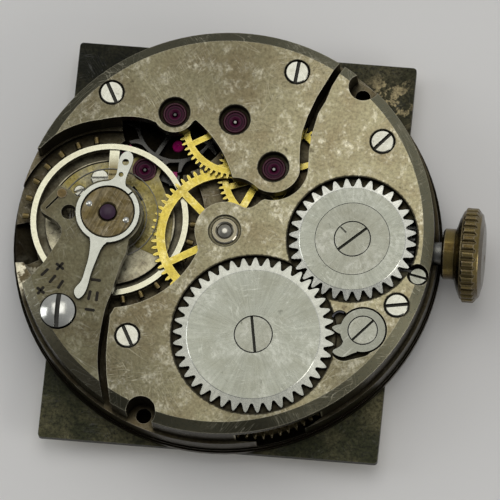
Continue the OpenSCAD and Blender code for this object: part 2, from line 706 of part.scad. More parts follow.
// The coils end at one side, a bend leads out, and the last part keeps the curb pins' radius
spring_body_r = 2.2;
spring_gap = (spring_body_r - spring_bore_r) / hairspring_turns - spring_w;
echo(hairspring_gap_mm = spring_gap);
function hairspring_rows() = concat(
    spiral(spring_bore_r, spring_body_r, hairspring_turns, -145),
    [for (i = [1:16]) let (t = i / 16)
        [spring_body_r + (curb_r - spring_body_r) * t * t * (3 - 2 * t), -145 + 200 * t]],
    [for (i = [1:12]) [curb_r, 55 + (heading(balance_p, stud_p) - 55) * i / 12]]);

module hairspring() color([0.3, 0.34, 0.5]) at(balance_p, spring_z)
    linear_extrude(0.14) polygon(strip(hairspring_rows(), spring_w));

module barrel() color([0.72, 0.6, 0.32]) at(barrel_p) difference() {
    union() {
        disc(barrel_drum_r, barrel_top - barrel_z - 0.02, z = barrel_z);
        slab(barrel_teeth_t, barrel_teeth_z)
            polygon(teeth(barrel_n, wheel_rows(barrel_m, barrel_n), barrel_a + 180));
    }
    disc(barrel_drum_r - barrel_wall, 9, z = barrel_z + 0.2);
    disc(barrel_drum_r - barrel_wall + 0.12, 9, z = barrel_top - 0.17);
    disc(arbor_r + pivot_gap, 9);
}

module barrel_cover() color([0.76, 0.66, 0.38]) at(barrel_p, barrel_top - 0.17) difference() {
    cylinder(r = barrel_drum_r - barrel_wall + 0.12, h = 0.15);
    translate([0, 0, -1]) cylinder(r = arbor_r + pivot_gap, h = 9);
}

module mainspring() color([0.45, 0.47, 0.5]) at(barrel_p, barrel_z + 0.23)
    linear_extrude(barrel_top - 0.2 - barrel_z - 0.26)
        polygon(strip(spiral(arbor_hub_r + 0.08, barrel_drum_r - barrel_wall - 0.08, 9, 40), 0.12));

module barrel_arbor() color([0.7, 0.7, 0.7]) {
    difference() {
        arbor(barrel_p, [[0.15, arbor_r], [barrel_z + 0.23, arbor_hub_r],
            [barrel_top - 0.2, arbor_r], [barrel_top + 0.1, 1 - pivot_gap]], ratchet_z);
        disc(0.35, 9, barrel_p, 2.1);
    }
    difference() {
        at(barrel_p, ratchet_z) translate([-0.55, -0.55, 0]) cube([1.1, 1.1, ratchet_t - 0.14]);
        disc(0.35, 9, barrel_p, 2.1);
    }
}

// A winding wheel: its teeth, and a bevel that falls from the flat face to the tooth tips
module winding_wheel(n, tip, t, face_r, drop, a) {
    intersection() {
        linear_extrude(t) polygon(teeth(n, ratchet_rows(tip), a));
        rotate_extrude($fn = 180) polygon([[0, 0], [tip + e, 0], [tip + e, t - drop],
            [face_r, t - 0.02], [face_r - 0.03, t], [0, t]]);
    }
}

mesh_a = heading(barrel_p, crown_wheel_p);
module ratchet_wheel() color([0.76, 0.76, 0.73]) difference() {
    at(barrel_p, ratchet_z)
        winding_wheel(ratchet_n, ratchet_tip_r, ratchet_t, ratchet_tip_r - 0.75, 0.16, mesh_a);
    at(barrel_p, ratchet_z - e) translate([-0.55, -0.55, 0]) cube([1.1, 1.1, 9]);
    disc(ratchet_screw_r, 9, barrel_p, ratchet_z + ratchet_t - 0.14);
}

module ratchet_screw() color([0.78, 0.78, 0.76]) at(barrel_p, ratchet_z + ratchet_t)
    screw(ratchet_screw_r - 0.02, 0.14, 0.35, ratchet_z + ratchet_t - 2.1, -80,
        slot_w = 0.16, slot_d = 0.1);

// The crown wheel's upper teeth meet the ratchet wheel, and narrow ones below the winding pinion
crown_tooth_a = mesh_a + 180 + 180 / crown_wheel_n;
crown_face_z = ratchet_z + ratchet_t;
module crown_wheel() color([0.76, 0.76, 0.73]) at(crown_wheel_p) difference() {
    union() {
        translate([0, 0, crown_ring_z]) winding_wheel(crown_wheel_n, crown_wheel_tip_r,
            crown_face_z - crown_ring_z, crown_wheel_tip_r - 0.58, 0.16, crown_tooth_a);
        slab(crown_ring_z - crown_wheel_z + e, crown_wheel_z) difference() {
            polygon(teeth(crown_wheel_n, [[crown_root_r - 0.1, 0.34], [crown_wheel_tip_r - 0.12, 0.3],
                [crown_wheel_tip_r - 0.03, 0.12]], crown_tooth_a));
            circle(crown_root_r);
        }
    }
    disc(core_r + 0.03, 9);
}

module crown_wheel_core() color([0.74, 0.74, 0.71]) difference() {
    disc(core_r, crown_face_z - crown_wheel_z + 0.03, crown_wheel_p, crown_wheel_z - 0.03);
    disc(crown_screw_r, 9, crown_wheel_p, crown_face_z - 0.16);
    disc(crown_shank_r, 9, crown_wheel_p);
}

module crown_wheel_screw() color([0.78, 0.78, 0.76])
    at(crown_wheel_p, crown_face_z) difference() {
        screw(crown_screw_r - 0.02, 0.16, crown_shank_r, crown_face_z - 2.1, 42,
            slot_w = 0.16, slot_d = 0.1);
        rotate(-42) translate([-0.95, -0.05, -0.05]) cube([0.45, 0.1, 1]);
    }

module click() color([0.7, 0.71, 0.7]) slab(click_t, top_z - click_t) difference() {
    union() {
        translate(click_p) circle(click_r);
        polygon(concat(
            curve([[7.4, -4.2], [7.25, -4.6], [7.1, -4.9], [6.7, -5.02], [6.47, -5.15], [6.52, -5.3],
                [6.75, -5.45], [6.98, -5.55], [7.14, -5.8], [7.06, -6.14], [6.88, -6.32],
                [6.64, -6.47], [6.62, -6.62], [6.81, -6.76], [7.04, -6.83], [7.23, -6.83],
                [7.42, -6.76], [7.69, -6.61], [8.0, -6.5], [8.4, -6.46]]),
            [click_p]));
    }
    translate(click_p) circle(click_screw_r);
}

module click_screw() color([0.76, 0.76, 0.74]) at(click_p, top_z + 0.01)
    screw(click_screw_r - 0.02, click_t + 0.01, 0.35, top_z + 0.01 - 1.7, 48,
        slot_w = 0.14, slot_d = 0.1);

module click_spring() color([0.55, 0.58, 0.66]) slab(0.2, top_z - click_t + 0.02)
    polygon(concat(arc([6.83, -4.62], 0.46, 60, 172), arc([6.83, -4.62], 0.36, 172, 60)));

module centre_wheel() color([0.85, 0.72, 0.35]) at(centre_p, centre_z)
    wheel(centre_n, wheel_rows(centre_m, centre_n), wheel_t, centre_m * centre_n / 2 - 0.66,
        1.15, 5, 0.42, 0.5, third_a, 65.5);

module centre_arbor() color([0.72, 0.72, 0.7]) {
    at(centre_p, 1.2) difference() {
        linear_extrude(centre_z - 1.2 - 0.05)
            polygon(teeth(centre_pinion_n, pinion_rows(barrel_m, centre_pinion_n),
                barrel_a + 180 / centre_pinion_n));
        translate([0, 0, -e]) cylinder(r = 0.3, h = 9);
    }
    arbor(centre_p, [[-cannon_out - dial_t + 0.1, 0.3], [motion_recess + 0.02, 0.4],
        [1.19, 0.5], [bridge_z - 0.05, 0.4]], top_z - 0.1);
    at(centre_p, top_z - 0.1 - e) rotate_extrude() intersection() {
        translate([0, -0.75]) circle(0.85);
        square([0.4, 0.2]);
    }
}

module cannon_pinion() color([0.7, 0.7, 0.68]) at(centre_p) difference() {
    union() {
        slab(0.17, 0.2) polygon(teeth(cannon_n, pinion_rows(motion_m, cannon_n),
            180 / cannon_n));
        at(centre_p, -dial_t - hour_pipe_out - 0.02)
            cylinder(r1 = cannon_r - pin_taper, r2 = cannon_r, h = dial_t + hour_pipe_out + 0.23);
        disc(cannon_r - pin_taper, cannon_out, z = -cannon_out - dial_t);
    }
    disc(0.3, 9, z = -5);
}

module train_wheel(p, m, z, a, arm_a) at(p, z)
    wheel(third_n, wheel_rows(m, third_n), wheel_t, m * third_n / 2 - 0.5, 0.75, 4, 0.34, 0.2,
        a, arm_a);

// A pinion and its arbor, with a pivot at each end
module train_pinion(p, m, n, z0, z1, a, foot_z, foot_r, end_z, r = 0.2) {
    at(p, z0) difference() {
        linear_extrude(z1 - z0) polygon(teeth(n, pinion_rows(m, n), a));
        translate([0, 0, -e]) cylinder(r = 0.1, h = 9);
    }
    arbor(p, [[foot_z, foot_r], [foot_z + 0.3, r], [end_z - 0.27, train_pivot_r]], end_z);
}

module third_wheel() color([0.85, 0.72, 0.35])
    train_wheel(third_p, third_m, third_z, fourth_a, 20);

module third_pinion() color([0.72, 0.72, 0.7])
    train_pinion(third_p, centre_m, third_pinion_n, third_z + wheel_t + 0.05, fourth_z - 0.04,
        third_a + 180 + 180 / third_pinion_n, plate_t - 0.32, train_pivot_r, upper_end);

module fourth_wheel() color([0.86, 0.74, 0.38])
    train_wheel(fourth_p, fourth_m, fourth_z, escape_a, 30);

module fourth_pinion() color([0.72, 0.72, 0.7]) {
    train_pinion(fourth_p, third_m, third_pinion_n, plate_t + 0.06, fourth_z - 0.04,
        fourth_a + 180 + 180 / third_pinion_n, plate_t - 0.32, seconds_r, upper_end);
    at(fourth_p, -dial_t - 0.1)
        cylinder(r1 = seconds_r - 0.02, r2 = seconds_r, h = plate_t - 0.32 + dial_t + 0.1);
    disc(seconds_r - 0.02, 0.8, fourth_p, -dial_t - 0.9);
}

// Club teeth lean against the wheel's turning, which is clockwise seen from the bridges
function club_teeth(a) = [for (i = [0:14]) each [for (q = [[2.25, 2.2], [2.5, 0.8], [0, 0],
    [0.055, 3.9], [0.2, 4.8], [0.4, 7.6], [0.55, 12]])
    polar(q[0] > 1 ? q[0] - 2.85 + escape_r : escape_r - q[0], a + i * 24 + q[1])]];
module escape_wheel() color([0.62, 0.64, 0.66]) at(escape_p, escape_z)
    linear_extrude(wheel_t) difference() {
        polygon(club_teeth(lever_a + 30 + 3.7));
        difference() {
            circle(escape_r - 0.78);
            circle(0.5);
            for (i = [0:3]) rotate(62 + i * 90) translate([0, -0.12]) square([3, 0.24]);
        }
        circle(escape_arbor_r);
    }

module escape_pinion() color([0.72, 0.72, 0.7]) {
    train_pinion(escape_p, fourth_m, escape_pinion_n, fourth_z - 0.12, fourth_z + wheel_t + 0.02,
        escape_a + 180 + 180 / escape_pinion_n, lower_jewel_z + 0.02, train_pivot_r, upper_end,
        r = escape_arbor_r);
    disc(0.3, 0.12, escape_p, escape_z + wheel_t);
}

// Stones lie on the lines where the wheel's circle meets the pallet arms at right angles
stone_as = [lever_a - 30, lever_a + 30];
stone_gap = -0.02;
stone_l = 0.62;
stone_w = 0.3;
fork_slot = 0.3;
module pallet_stones() color([0.6, 0.12, 0.25]) for (a = stone_as)
    at(escape_p, fork_z - 0.03) rotate(a) translate([escape_r + stone_gap, -stone_w / 2, 0])
        cube([stone_l, stone_w, fork_t + 0.06]);

module pallet_fork() color([0.66, 0.67, 0.68]) {
    slab(fork_t, fork_z) difference() {
        union() {
            translate(pallet_p) circle(0.42);
            for (a = stone_as) bar(pallet_p, escape_p + polar(escape_r + 0.6, a), 0.34);
            for (a = stone_as) at(escape_p) rotate(a) translate([escape_r + 0.17, -0.28])
                square([stone_l - 0.02, 0.56]);
            bar(pallet_p, balance_p - polar(1.1, lever_a), 0.24);
            at(balance_p) rotate(lever_a + 180) polygon([[1.35, -0.12], [1.1, -0.36], [0.56, -0.36],
                [0.56, 0.36], [1.1, 0.36], [1.35, 0.12]]);
        }
        for (a = stone_as) at(escape_p) rotate(a)
            translate([escape_r + stone_gap, -stone_w / 2]) square([stone_l, stone_w]);
        // The notch for the impulse jewel, and the horns that curve round the roller
        at(balance_p) rotate(lever_a + 180) translate([0, -fork_slot / 2]) square([0.85, fork_slot]);
        translate(balance_p) circle(0.66);
        translate(pallet_p) circle(0.1);
    }
    arbor(pallet_p, [[lower_jewel_z + 0.02, train_pivot_r], [pocket_z + 0.05, 0.16],
        [pallet_cock_z - 0.03, train_pivot_r]], pallet_cock_z + pallet_cock_t - 0.04);
}

module balance_wheel() color([0.82, 0.78, 0.62]) at(balance_p, balance_z) {
    linear_extrude(balance_rim_h) difference() {
        circle(balance_r, $fn = 180);
        circle(balance_r - balance_rim_w, $fn = 180);
    }
    translate([0, 0, 0.12]) linear_extrude(0.16) difference() {
        union() {
            circle(0.75);
            rotate(balance_arm_a) square([2 * balance_r - balance_rim_w, 0.55], center = true);
        }
        circle(0.25);
    }
}

// Fourteen timing screws, in opposite pairs
timing_as = [for (i = [0:6], s = [0, 180]) 104 + i * 12.8 + s];
module timing_screws() color([0.75, 0.68, 0.45]) for (a = timing_as)
    at(balance_p, balance_z + balance_rim_h / 2) rotate([0, 90, a])
        translate([0, 0, balance_r]) difference() {
            union() {
                cylinder(r = 0.08, h = 0.12, $fn = 24);
                translate([0, 0, 0.1]) cylinder(r = 0.17, h = 0.37, $fn = 24);
            }
            translate([-0.03, -0.5, 0.37]) cube([0.06, 1, 1]);
        }

module balance_staff() color([0.74, 0.74, 0.72])
    arbor(balance_p, [[lower_jewel_z + 0.02, train_pivot_r], [pocket_z + 0.05, 0.18],
        [balance_z + 0.12, 0.25], [balance_z + 0.3, collet_r], [spring_z + 0.2, 0.2],
        [bridge_z + 0.28, train_pivot_r]], bridge_z + 0.3 + jewel_t - 0.02);

roller_z = fork_z + fork_t + 0.1;
impulse_d = 0.62;
module roller() color([0.7, 0.7, 0.68]) at(balance_p) {
    difference() {
        disc(0.85, 0.14, z = roller_z);
        disc(0.18, 9);
        disc(0.12, 9, polar(impulse_d, lever_a + 180));
    }
    difference() {
        disc(0.36, 0.14, z = fork_z - 0.16);
        disc(0.18, 9);
    }
}

module impulse_jewel() color([0.65, 0.1, 0.22])
    disc(0.12, roller_z + 0.14 - fork_z, balance_p + polar(impulse_d, lever_a + 180), fork_z);

module regulator() color([0.84, 0.84, 0.82]) {
    slab(regulator_t, top_z + 0.02) difference() {
        union() {
            translate(balance_p) circle(regulator_ring_r);
            polygon(concat(
                curve([[-5.0, 2.0], [-5.44, 1.8], [-5.72, 2.2], [-5.72, 2.64], [-5.5, 3.36],
                    [-5.43, 3.7], [-5.52, 4.02], [-5.78, 4.17], [-6.09, 3.96], [-6.23, 3.55],
                    [-6.28, 2.85], [-6.48, 2.5], [-6.92, 2.27], [-7.5, 2.0]]),
                [balance_p]));
            polygon(concat(
                curve([[-8.2, -0.4], [-7.7, -0.6], [-7.4, -1.15], [-7.4, -2.1], [-7.52, -2.79],
                    [-7.68, -3.5], [-8.0, -3.98], [-8.0, -4.3], [-7.8, -4.54], [-7.6, -4.44],
                    [-7.4, -4.1], [-7.3, -3.7], [-7.18, -3.0], [-6.96, -2.2], [-6.72, -1.5],
                    [-6.4, -1.15], [-6, -1]]),
                [balance_p]));
        }
        translate(balance_p) circle(end_piece_r + 0.03);
        translate(balance_p) rotate(44) translate([1, -0.05]) square([1.2, 0.1]);
        translate([-5.84, 3.52]) circle(0.19);
        translate([-6.03, 2.79]) circle(0.14);
    }
    // Curb pins, on each side of the outer coil
    for (r = [curb_r - 0.11, curb_r + 0.11])
        disc(0.05, top_z + 0.1 - spring_z, balance_p + polar(r, 81), spring_z, $fn = 24);
}

module on_stem(x) translate([x, 0, stem_z]) rotate([0, 90, 0]) children();

// Saw teeth in an end face, as a ring of wedges; a wedge spans so many degrees over n
module breguet(r0, r1, h, n, span = 200) linear_extrude(h) for (i = [0:n - 1])
    rotate(i * 360 / n)
        polygon(concat(arc([0, 0], r1, 0, span / n, 4), arc([0, 0], r0, span / n, 0, 4)));

// The pinion's turn that puts the crown wheel's nearest tooth midway between two of its own
crown_pitch_a = 360 / crown_wheel_n;
nearest_tooth_a = crown_tooth_a - crown_pitch_a * round(crown_tooth_a / crown_pitch_a);
pinion_turn = -asin((crown_wheel_tip_r - 0.25) * sin(nearest_tooth_a) / pinion_r);

module winding_pinion() color([0.66, 0.66, 0.64]) on_stem(pinion_x0) difference() {
    union() {
        translate([0, 0, 0.18]) linear_extrude(pinion_l - 0.18)
            polygon(teeth(pinion_n, [[1.0, 0.5], [pinion_r, 0.4], [pinion_tip_r, 0.16]],
                180 / pinion_n + pinion_turn));
        cylinder(r = 0.95, h = 0.2);
        rotate(200 / breguet_n + 4) translate([0, 0, -0.07]) breguet(0.7, 0.94, 0.1, breguet_n, 110);
    }
    translate([0, 0, -1]) cylinder(r = stem_r, h = 9);
}

module sliding_pinion() color([0.66, 0.66, 0.64]) on_stem(sliding_x0) difference() {
    union() {
        translate([0, 0, 0.22]) cylinder(r = sliding_r, h = groove_x - sliding_x0 - groove_w / 2 - 0.22);
        cylinder(r = 0.7, h = sliding_l - 0.1);
        translate([0, 0, groove_x - sliding_x0 + groove_w / 2])
            cylinder(r = sliding_r, h = sliding_l - 0.14 - (groove_x - sliding_x0 + groove_w / 2));
        translate([0, 0, sliding_l - 0.16]) breguet(0.7, 0.94, 0.1, breguet_n);
        breguet(0.62, sliding_r, 0.24, 16);
    }
    cube([square_w + 0.06, square_w + 0.06, 9], center = true);
}

module stem() color([0.68, 0.68, 0.66]) on_stem(0) {
    translate([0, 0, pilot_x0]) cylinder(r = pilot_r, h = sliding_x0 - pilot_x0 - 0.1);
    translate([0, 0, (sliding_x0 + pinion_x0) / 2 - 0.05])
        cube([square_w, square_w, pinion_x0 - sliding_x0 + 0.1], center = true);
    translate([0, 0, pinion_x0])
        cylinder(r = stem_r - pivot_gap, h = stem_groove_x - stem_groove_w / 2 - pinion_x0);
    translate([0, 0, stem_groove_x - stem_groove_w / 2]) cylinder(r = 0.38, h = stem_groove_w);
    translate([0, 0, stem_groove_x + stem_groove_w / 2])
        cylinder(r = stem_r, h = crown_x0 - stem_groove_x - stem_groove_w / 2 + 0.2);
    translate([0, 0, crown_x0 + 0.2]) cylinder(r = crown_bore_r, h = 1);
}

module crown() color([0.6, 0.48, 0.25]) on_stem(crown_x0) difference() {
    union() {
        rotate_extrude() polygon([[0, 0], [crown_neck_r - 0.15, 0], [crown_neck_r, 0.12],
            [crown_neck_r, crown_neck_l - 0.1], [crown_r - 0.6, crown_neck_l + 0.1],
            [crown_r - 0.18, crown_neck_l + 0.3], [crown_r - 0.12, crown_neck_l + 0.5],
            [crown_r - 0.12, crown_neck_l + crown_l - 0.5],
            [crown_r - 0.3, crown_neck_l + crown_l - 0.22],
            [crown_r - 0.9, crown_neck_l + crown_l - 0.06], [0, crown_neck_l + crown_l]]);
        intersection() {
            translate([0, 0, crown_neck_l]) linear_extrude(crown_l)
                polygon(teeth(crown_flutes, [[crown_r - 0.16, 0.86], [crown_r - 0.04, 0.6],
                    [crown_r, 0.3]]));
            rotate_extrude() polygon([[0, crown_neck_l + 0.1], [crown_r - 0.6, crown_neck_l + 0.1],
                [crown_r, crown_neck_l + 0.45], [crown_r, crown_neck_l + crown_l - 0.5],
                [crown_r - 0.35, crown_neck_l + crown_l - 0.2],
                [0, crown_neck_l + crown_l - 0.2]]);
        }
    }
    translate([0, 0, -1]) cylinder(r = stem_r, h = 1.2);
    translate([0, 0, -1]) cylinder(r = crown_bore_r, h = 2.2);
}

module setting_lever() color([0.6, 0.62, 0.64]) {
    slab(keyless_t, keyless_z) difference() {
        union() {
            link(lever_screw_p, lever_pin_p, lever_head_w);
            translate(lever_screw_p) circle(0.6);
            link(lever_screw_p, [9.7, -1.6], 0.46);
        }
        translate(lever_screw_p) circle(lever_screw_r);
    }
    disc(lever_pin_r, stem_z - 0.42 - keyless_z - keyless_t, lever_pin_p, keyless_z + keyless_t);
}

module yoke() color([0.6, 0.62, 0.64]) {
    slab(keyless_t, keyless_z) difference() {
        union() {
            translate(yoke_p) circle(0.62);
            polygon(curve([[8.5, 3.9], [8.2, 3.3], [8.35, 2.2], [8.5, 1.0], [8.55, 0],
                [8.6, -0.8], [8.72, -1.2], [8.95, -1.0], [9.06, -0.4], [9.08, 0.6], [9.0, 1.8],
                [9.05, 2.9], [9.0, 3.3], [8.6, 3.6], [8.2, 3.3], [8.35, 2.2]]));
        }
        translate(yoke_p) circle(post_r + pivot_gap);
    }
    translate([groove_x - 0.12, -0.15, keyless_z + keyless_t])
        cube([0.24, 0.3, stem_z - 0.78 - keyless_z - keyless_t]);
}

module yoke_spring() color([0.5, 0.55, 0.68]) slab(0.2, keyless_z + 0.08) {
    translate([7.3, 4.0]) circle(0.3);
    polygon(concat(curve([[7.2, 4.6], [7.42, 4.1], [7.85, 3.2], [8.1, 2.2], [8.16, 1.5],
        [8.16, 0.9]]), curve([[8.28, 0.9], [8.28, 1.5], [8.22, 2.2], [7.97, 3.2], [7.6, 4.1],
        [7.3, 4.7]])));
}

module setting_lever_spring() color([0.55, 0.57, 0.6]) slab(0.07, 0.03) difference() {
    polygon(curve([[9.4, 3.95], [9.8, 3.1], [10.2, 1.6], [10.9, 0.2], [11.25, -0.9],
        [11.1, -1.8], [10.7, -2.3], [10.0, -2.1], [9.7, -1.4], [9.8, -0.4], [9.5, 0.9],
        [9.0, 2.0], [8.2, 2.5], [7.9, 3.3], [8.1, 3.9], [8.8, 4.2], [9.4, 3.95], [9.8, 3.1],
        [10.2, 1.6]]));
    translate(lever_screw_p) circle(lever_screw_r + 0.1);
    translate(yoke_p) circle(post_r);
}

module setting_wheel() color([0.78, 0.66, 0.36]) at([setting_x, 0], 0.14)
    wheel(setting_n, wheel_rows(motion_m, setting_n), 0.23, 0, 0, 0, 0, post_r + pivot_gap,
            180 / setting_n);

module minute_wheel() color([0.82, 0.7, 0.38]) at([minute_d, 0]) difference() {
    union() {
        slab(minute_t, minute_z)
            polygon(teeth(minute_n, wheel_rows(motion_m, minute_n), 180));
        slab(minute_z - hour_z, hour_z)
            polygon(teeth(minute_pinion_n, pinion_rows(hour_m, minute_pinion_n),
                180 + 180 / minute_pinion_n));
    }
    disc(post_r + pivot_gap, 9, z = -1);
}

module hour_wheel() color([0.82, 0.7, 0.38]) difference() {
    union() {
        slab(0.12, hour_z) polygon(teeth(hour_n, wheel_rows(hour_m, hour_n), 0));
        disc(hour_pipe_r, hour_pipe_out, z = -dial_t - hour_pipe_out);
        // The pipe tapers through the dial to the seat of the hour hand
        at(centre_p, -dial_t - 0.02)
            cylinder(r1 = hour_pipe_r, r2 = hour_pipe_r + pipe_taper, h = dial_t + 0.02 + hour_z + e);
    }
    disc(cannon_r + pivot_gap, 9, z = -5);
}

main_plate();
dial();
dial_screws();
barrel_bridge();
train_bridge();
balance_cock();
pallet_cock();
bridge_screws();
cock_screw();
pallet_cock_screws();
setting_lever_screw();
train_jewels();
lower_jewels();
balance_jewels();
cap_jewel();
centre_bush();
end_piece();
end_piece_screws();
hairspring_stud();
hairspring();
barrel();
barrel_cover();
mainspring();
barrel_arbor();
ratchet_wheel();
ratchet_screw();
crown_wheel();
crown_wheel_core();
crown_wheel_screw();
click();
click_screw();
click_spring();
centre_wheel();
centre_arbor();
cannon_pinion();
third_wheel();
third_pinion();
fourth_wheel();
fourth_pinion();
escape_wheel();
escape_pinion();
pallet_fork();
pallet_stones();
balance_wheel();
timing_screws();
balance_staff();
roller();
impulse_jewel();
regulator();
winding_pinion();
sliding_pinion();
stem();
crown();
setting_lever();
yoke();
yoke_spring();
setting_lever_spring();
setting_wheel();
minute_wheel();
hour_wheel();
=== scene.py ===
"""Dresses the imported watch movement: finishes for its pieces, small marks, light and camera.

Lengths are in millimetres until a mesh or an object is made, and MM turns them into metres.
"""
from __future__ import annotations

import logging
import math
from dataclasses import dataclass, field
from enum import Enum

import bmesh
import bpy
from mathutils import Matrix, Vector

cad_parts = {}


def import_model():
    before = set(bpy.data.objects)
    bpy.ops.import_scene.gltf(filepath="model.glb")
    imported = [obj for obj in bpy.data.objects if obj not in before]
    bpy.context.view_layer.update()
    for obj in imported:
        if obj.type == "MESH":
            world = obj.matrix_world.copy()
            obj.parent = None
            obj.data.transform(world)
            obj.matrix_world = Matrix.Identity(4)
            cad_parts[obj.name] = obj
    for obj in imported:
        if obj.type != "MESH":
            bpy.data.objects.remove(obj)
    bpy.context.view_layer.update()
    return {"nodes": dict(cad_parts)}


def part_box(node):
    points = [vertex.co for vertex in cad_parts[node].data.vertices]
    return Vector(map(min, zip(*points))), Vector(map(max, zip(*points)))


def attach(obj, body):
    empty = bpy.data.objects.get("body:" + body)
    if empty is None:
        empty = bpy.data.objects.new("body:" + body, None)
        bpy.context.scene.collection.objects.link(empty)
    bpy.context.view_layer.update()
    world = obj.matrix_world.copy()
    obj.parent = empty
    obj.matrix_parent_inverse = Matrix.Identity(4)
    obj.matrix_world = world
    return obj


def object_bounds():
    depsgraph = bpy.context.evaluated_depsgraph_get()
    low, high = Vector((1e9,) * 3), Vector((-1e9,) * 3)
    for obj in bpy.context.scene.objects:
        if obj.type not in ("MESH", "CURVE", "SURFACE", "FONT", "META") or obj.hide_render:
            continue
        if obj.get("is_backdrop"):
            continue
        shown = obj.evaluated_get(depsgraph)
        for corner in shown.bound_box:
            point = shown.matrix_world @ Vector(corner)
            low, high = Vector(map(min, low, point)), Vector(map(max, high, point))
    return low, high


LOG = logging.getLogger("movement")
MM = 0.001
WELD_MM = 0.0001
Tone = tuple[float, float, float]
Triple = tuple[float, float, float]
Pair = tuple[float, float]
Socket = bpy.types.NodeSocket
FALLING: Pair = (1.0, 0.0)


class Grain(Enum):
    """How a surface was worked, which gives the direction of its fine marks."""

    FROSTED = "frosted"
    SUNRAY = "sunray"
    TURNED = "turned"
    STRAIGHT = "straight"
    POLISHED = "polished"


@dataclass(frozen=True)
class Area:
    """A round area seen from above, in millimetres, and the shade its colour is multiplied by."""

    x: float
    y: float
    reach: float
    shade: float = 1.0


@dataclass(frozen=True)
class Hairline:
    """Scratches that run one way: their direction in degrees, how close and how wide they are."""

    turn: float
    fineness: float
    width: float


@dataclass(frozen=True)
class Disc:
    """A round solid or seat seen from above, in millimetres."""

    x: float
    y: float
    radius: float
    top: float = 0.0


@dataclass(frozen=True)
class Finish:
    """What a metal surface looks like: its colours by the way it faces, and its marks.

    Attributes:
        name: The material's name.
        face: The colour of level faces.
        slope: The colour of slanting faces, such as bevels and teeth.
        wall: The colour of upright faces, in most finishes a painted shade darker than level faces.
        stain: The colour of stains. Dirt and dark spots are darker shades of it.
        stain_amount: How strongly the stains show.
        stain_size: How large they are, in millimetres.
        bloom: The colour of pale scuffs.
        bloom_amount: How strongly the scuffs show.
        bloom_size: How large they are, in millimetres.
        bloom_place: The one area that is scuffed, or None for scuffs all over.
        mottle: How much fine specks change the colour and the height.
        metallic: 1 for bare metal, and 0 for paint.
        specular: The shader's specular level.
        roughness: The roughness of level faces.
        slope_roughness: The roughness of slanting and upright faces.
        grain: How the surface was worked.
        grain_depth: How deep the marks of the working are.
        grain_turn: The direction of a straight grain, in degrees.
        grain_per_mm: How fine a straight grain is, in parts per millimetre.
        swept: How far reflections are drawn out round the centre, from 0 to 1.
        scratch: How strongly scratches show.
        grime_and_shade: How dark corners are, with dirt and painted shade.
        corner_reach: How far the dirt and painted shade reach out of a corner, in millimetres.
        edge: The radius that edges are rounded by, in millimetres.
        edge_wear_and_highlight: How bright worn edges are, with wear and a painted highlight.
        sunk_from: The depth under the top where flat faces begin to take a painted shade, in
            millimetres.
        sunk_to: The depth where the painted shade is darkest. At 0 none darken.
        sunk_shade: The painted shade there.
        hub: The colour near the centre.
        hub_from: The radius where it begins to fade, in millimetres.
        hub_to: The radius where it ends. At 0 there is none.
        front: The colour of faces that look down, or None for the same as above.
        lit_side: The painted light and shade at the left and the right side, or None for no change.
        shades: The areas of painted light and painted shade, lighter or darker than the rest.
        outlined: Whether dark outlines of dirt and painted shadow ring the round seats in it.
    """

    name: str
    face: Tone
    slope: Tone
    wall: Tone
    stain: Tone
    stain_amount: float = 0.35
    stain_size: float = 1.6
    bloom: Tone = (0.0, 0.0, 0.0)
    bloom_amount: float = 0.0
    bloom_size: float = 1.3
    bloom_place: Area | None = None
    mottle: float = 0.16
    metallic: float = 1.0
    specular: float = 0.5
    roughness: float = 0.42
    slope_roughness: float = 0.3
    grain: Grain = Grain.FROSTED
    grain_depth: float = 0.3
    grain_turn: float = 35.0
    grain_per_mm: float = 30.0
    swept: float = 0.0
    scratch: float = 0.5
    grime_and_shade: float = 0.75
    corner_reach: float = 0.35
    edge: float = 0.018
    edge_wear_and_highlight: float = 0.0
    sunk_from: float = 0.0
    sunk_to: float = 0.0
    sunk_shade: float = 0.12
    hub: Tone = (0.0, 0.0, 0.0)
    hub_from: float = 0.0
    hub_to: float = 0.0
    front: Tone | None = None
    lit_side: Pair | None = None
    shades: tuple[Area, ...] = ()
    outlined: bool = False


@dataclass(frozen=True)
class Stone:
    """A polished jewel: the colour of its body, and of its deepest part.

    Attributes:
        name: The material's name.
        body: The colour of the body.
        deep: The colour of its deepest part, which its clouds lean to and its corners take as painted
            shade.
        roughness: The roughness.
        specular: The shader's specular level.
        ring_shaded: Whether it is painted with rings of shade, darkest in the hole.
    """

    name: str
    body: Tone
    deep: Tone
    roughness: float = 0.08
    specular: float = 0.15
    ring_shaded: bool = False


# Painted light and shade: the lit side makes the nickel lighter to the right, and the shades darken
# four areas.
NICKEL = Finish(
    "nickel", face=(0.252, 0.229, 0.14), slope=(0.12, 0.118, 0.08), wall=(0.045, 0.038, 0.024),
    stain=(0.17, 0.13, 0.07), stain_amount=0.55, stain_size=2.6, bloom=(0.6, 0.57, 0.44),
    bloom_amount=0.75, bloom_size=0.9, mottle=0.46, roughness=0.4, slope_roughness=0.3, scratch=1.0,
    edge=0.03, edge_wear_and_highlight=0.9, sunk_from=0.2, sunk_to=0.28, sunk_shade=0.22, outlined=True,
    lit_side=(0.66, 1.6),
    shades=(Area(8.6, -7.8, 4.6, 0.5), Area(-0.5, 10.2, 5.0, 0.72), Area(-5.5, -9.5, 5.0, 0.74),
            Area(3.0, -12.2, 3.4, 0.4)))
COCK_NICKEL = Finish(
    "cock_nickel", face=(0.115, 0.106, 0.064), slope=(0.1, 0.092, 0.062), wall=(0.035, 0.03, 0.02),
    stain=(0.07, 0.055, 0.03), stain_amount=0.55, stain_size=2.0, bloom=(0.24, 0.23, 0.165),
    bloom_amount=0.5, mottle=0.4, roughness=0.34, slope_roughness=0.28, scratch=0.9, edge_wear_and_highlight=0.6)
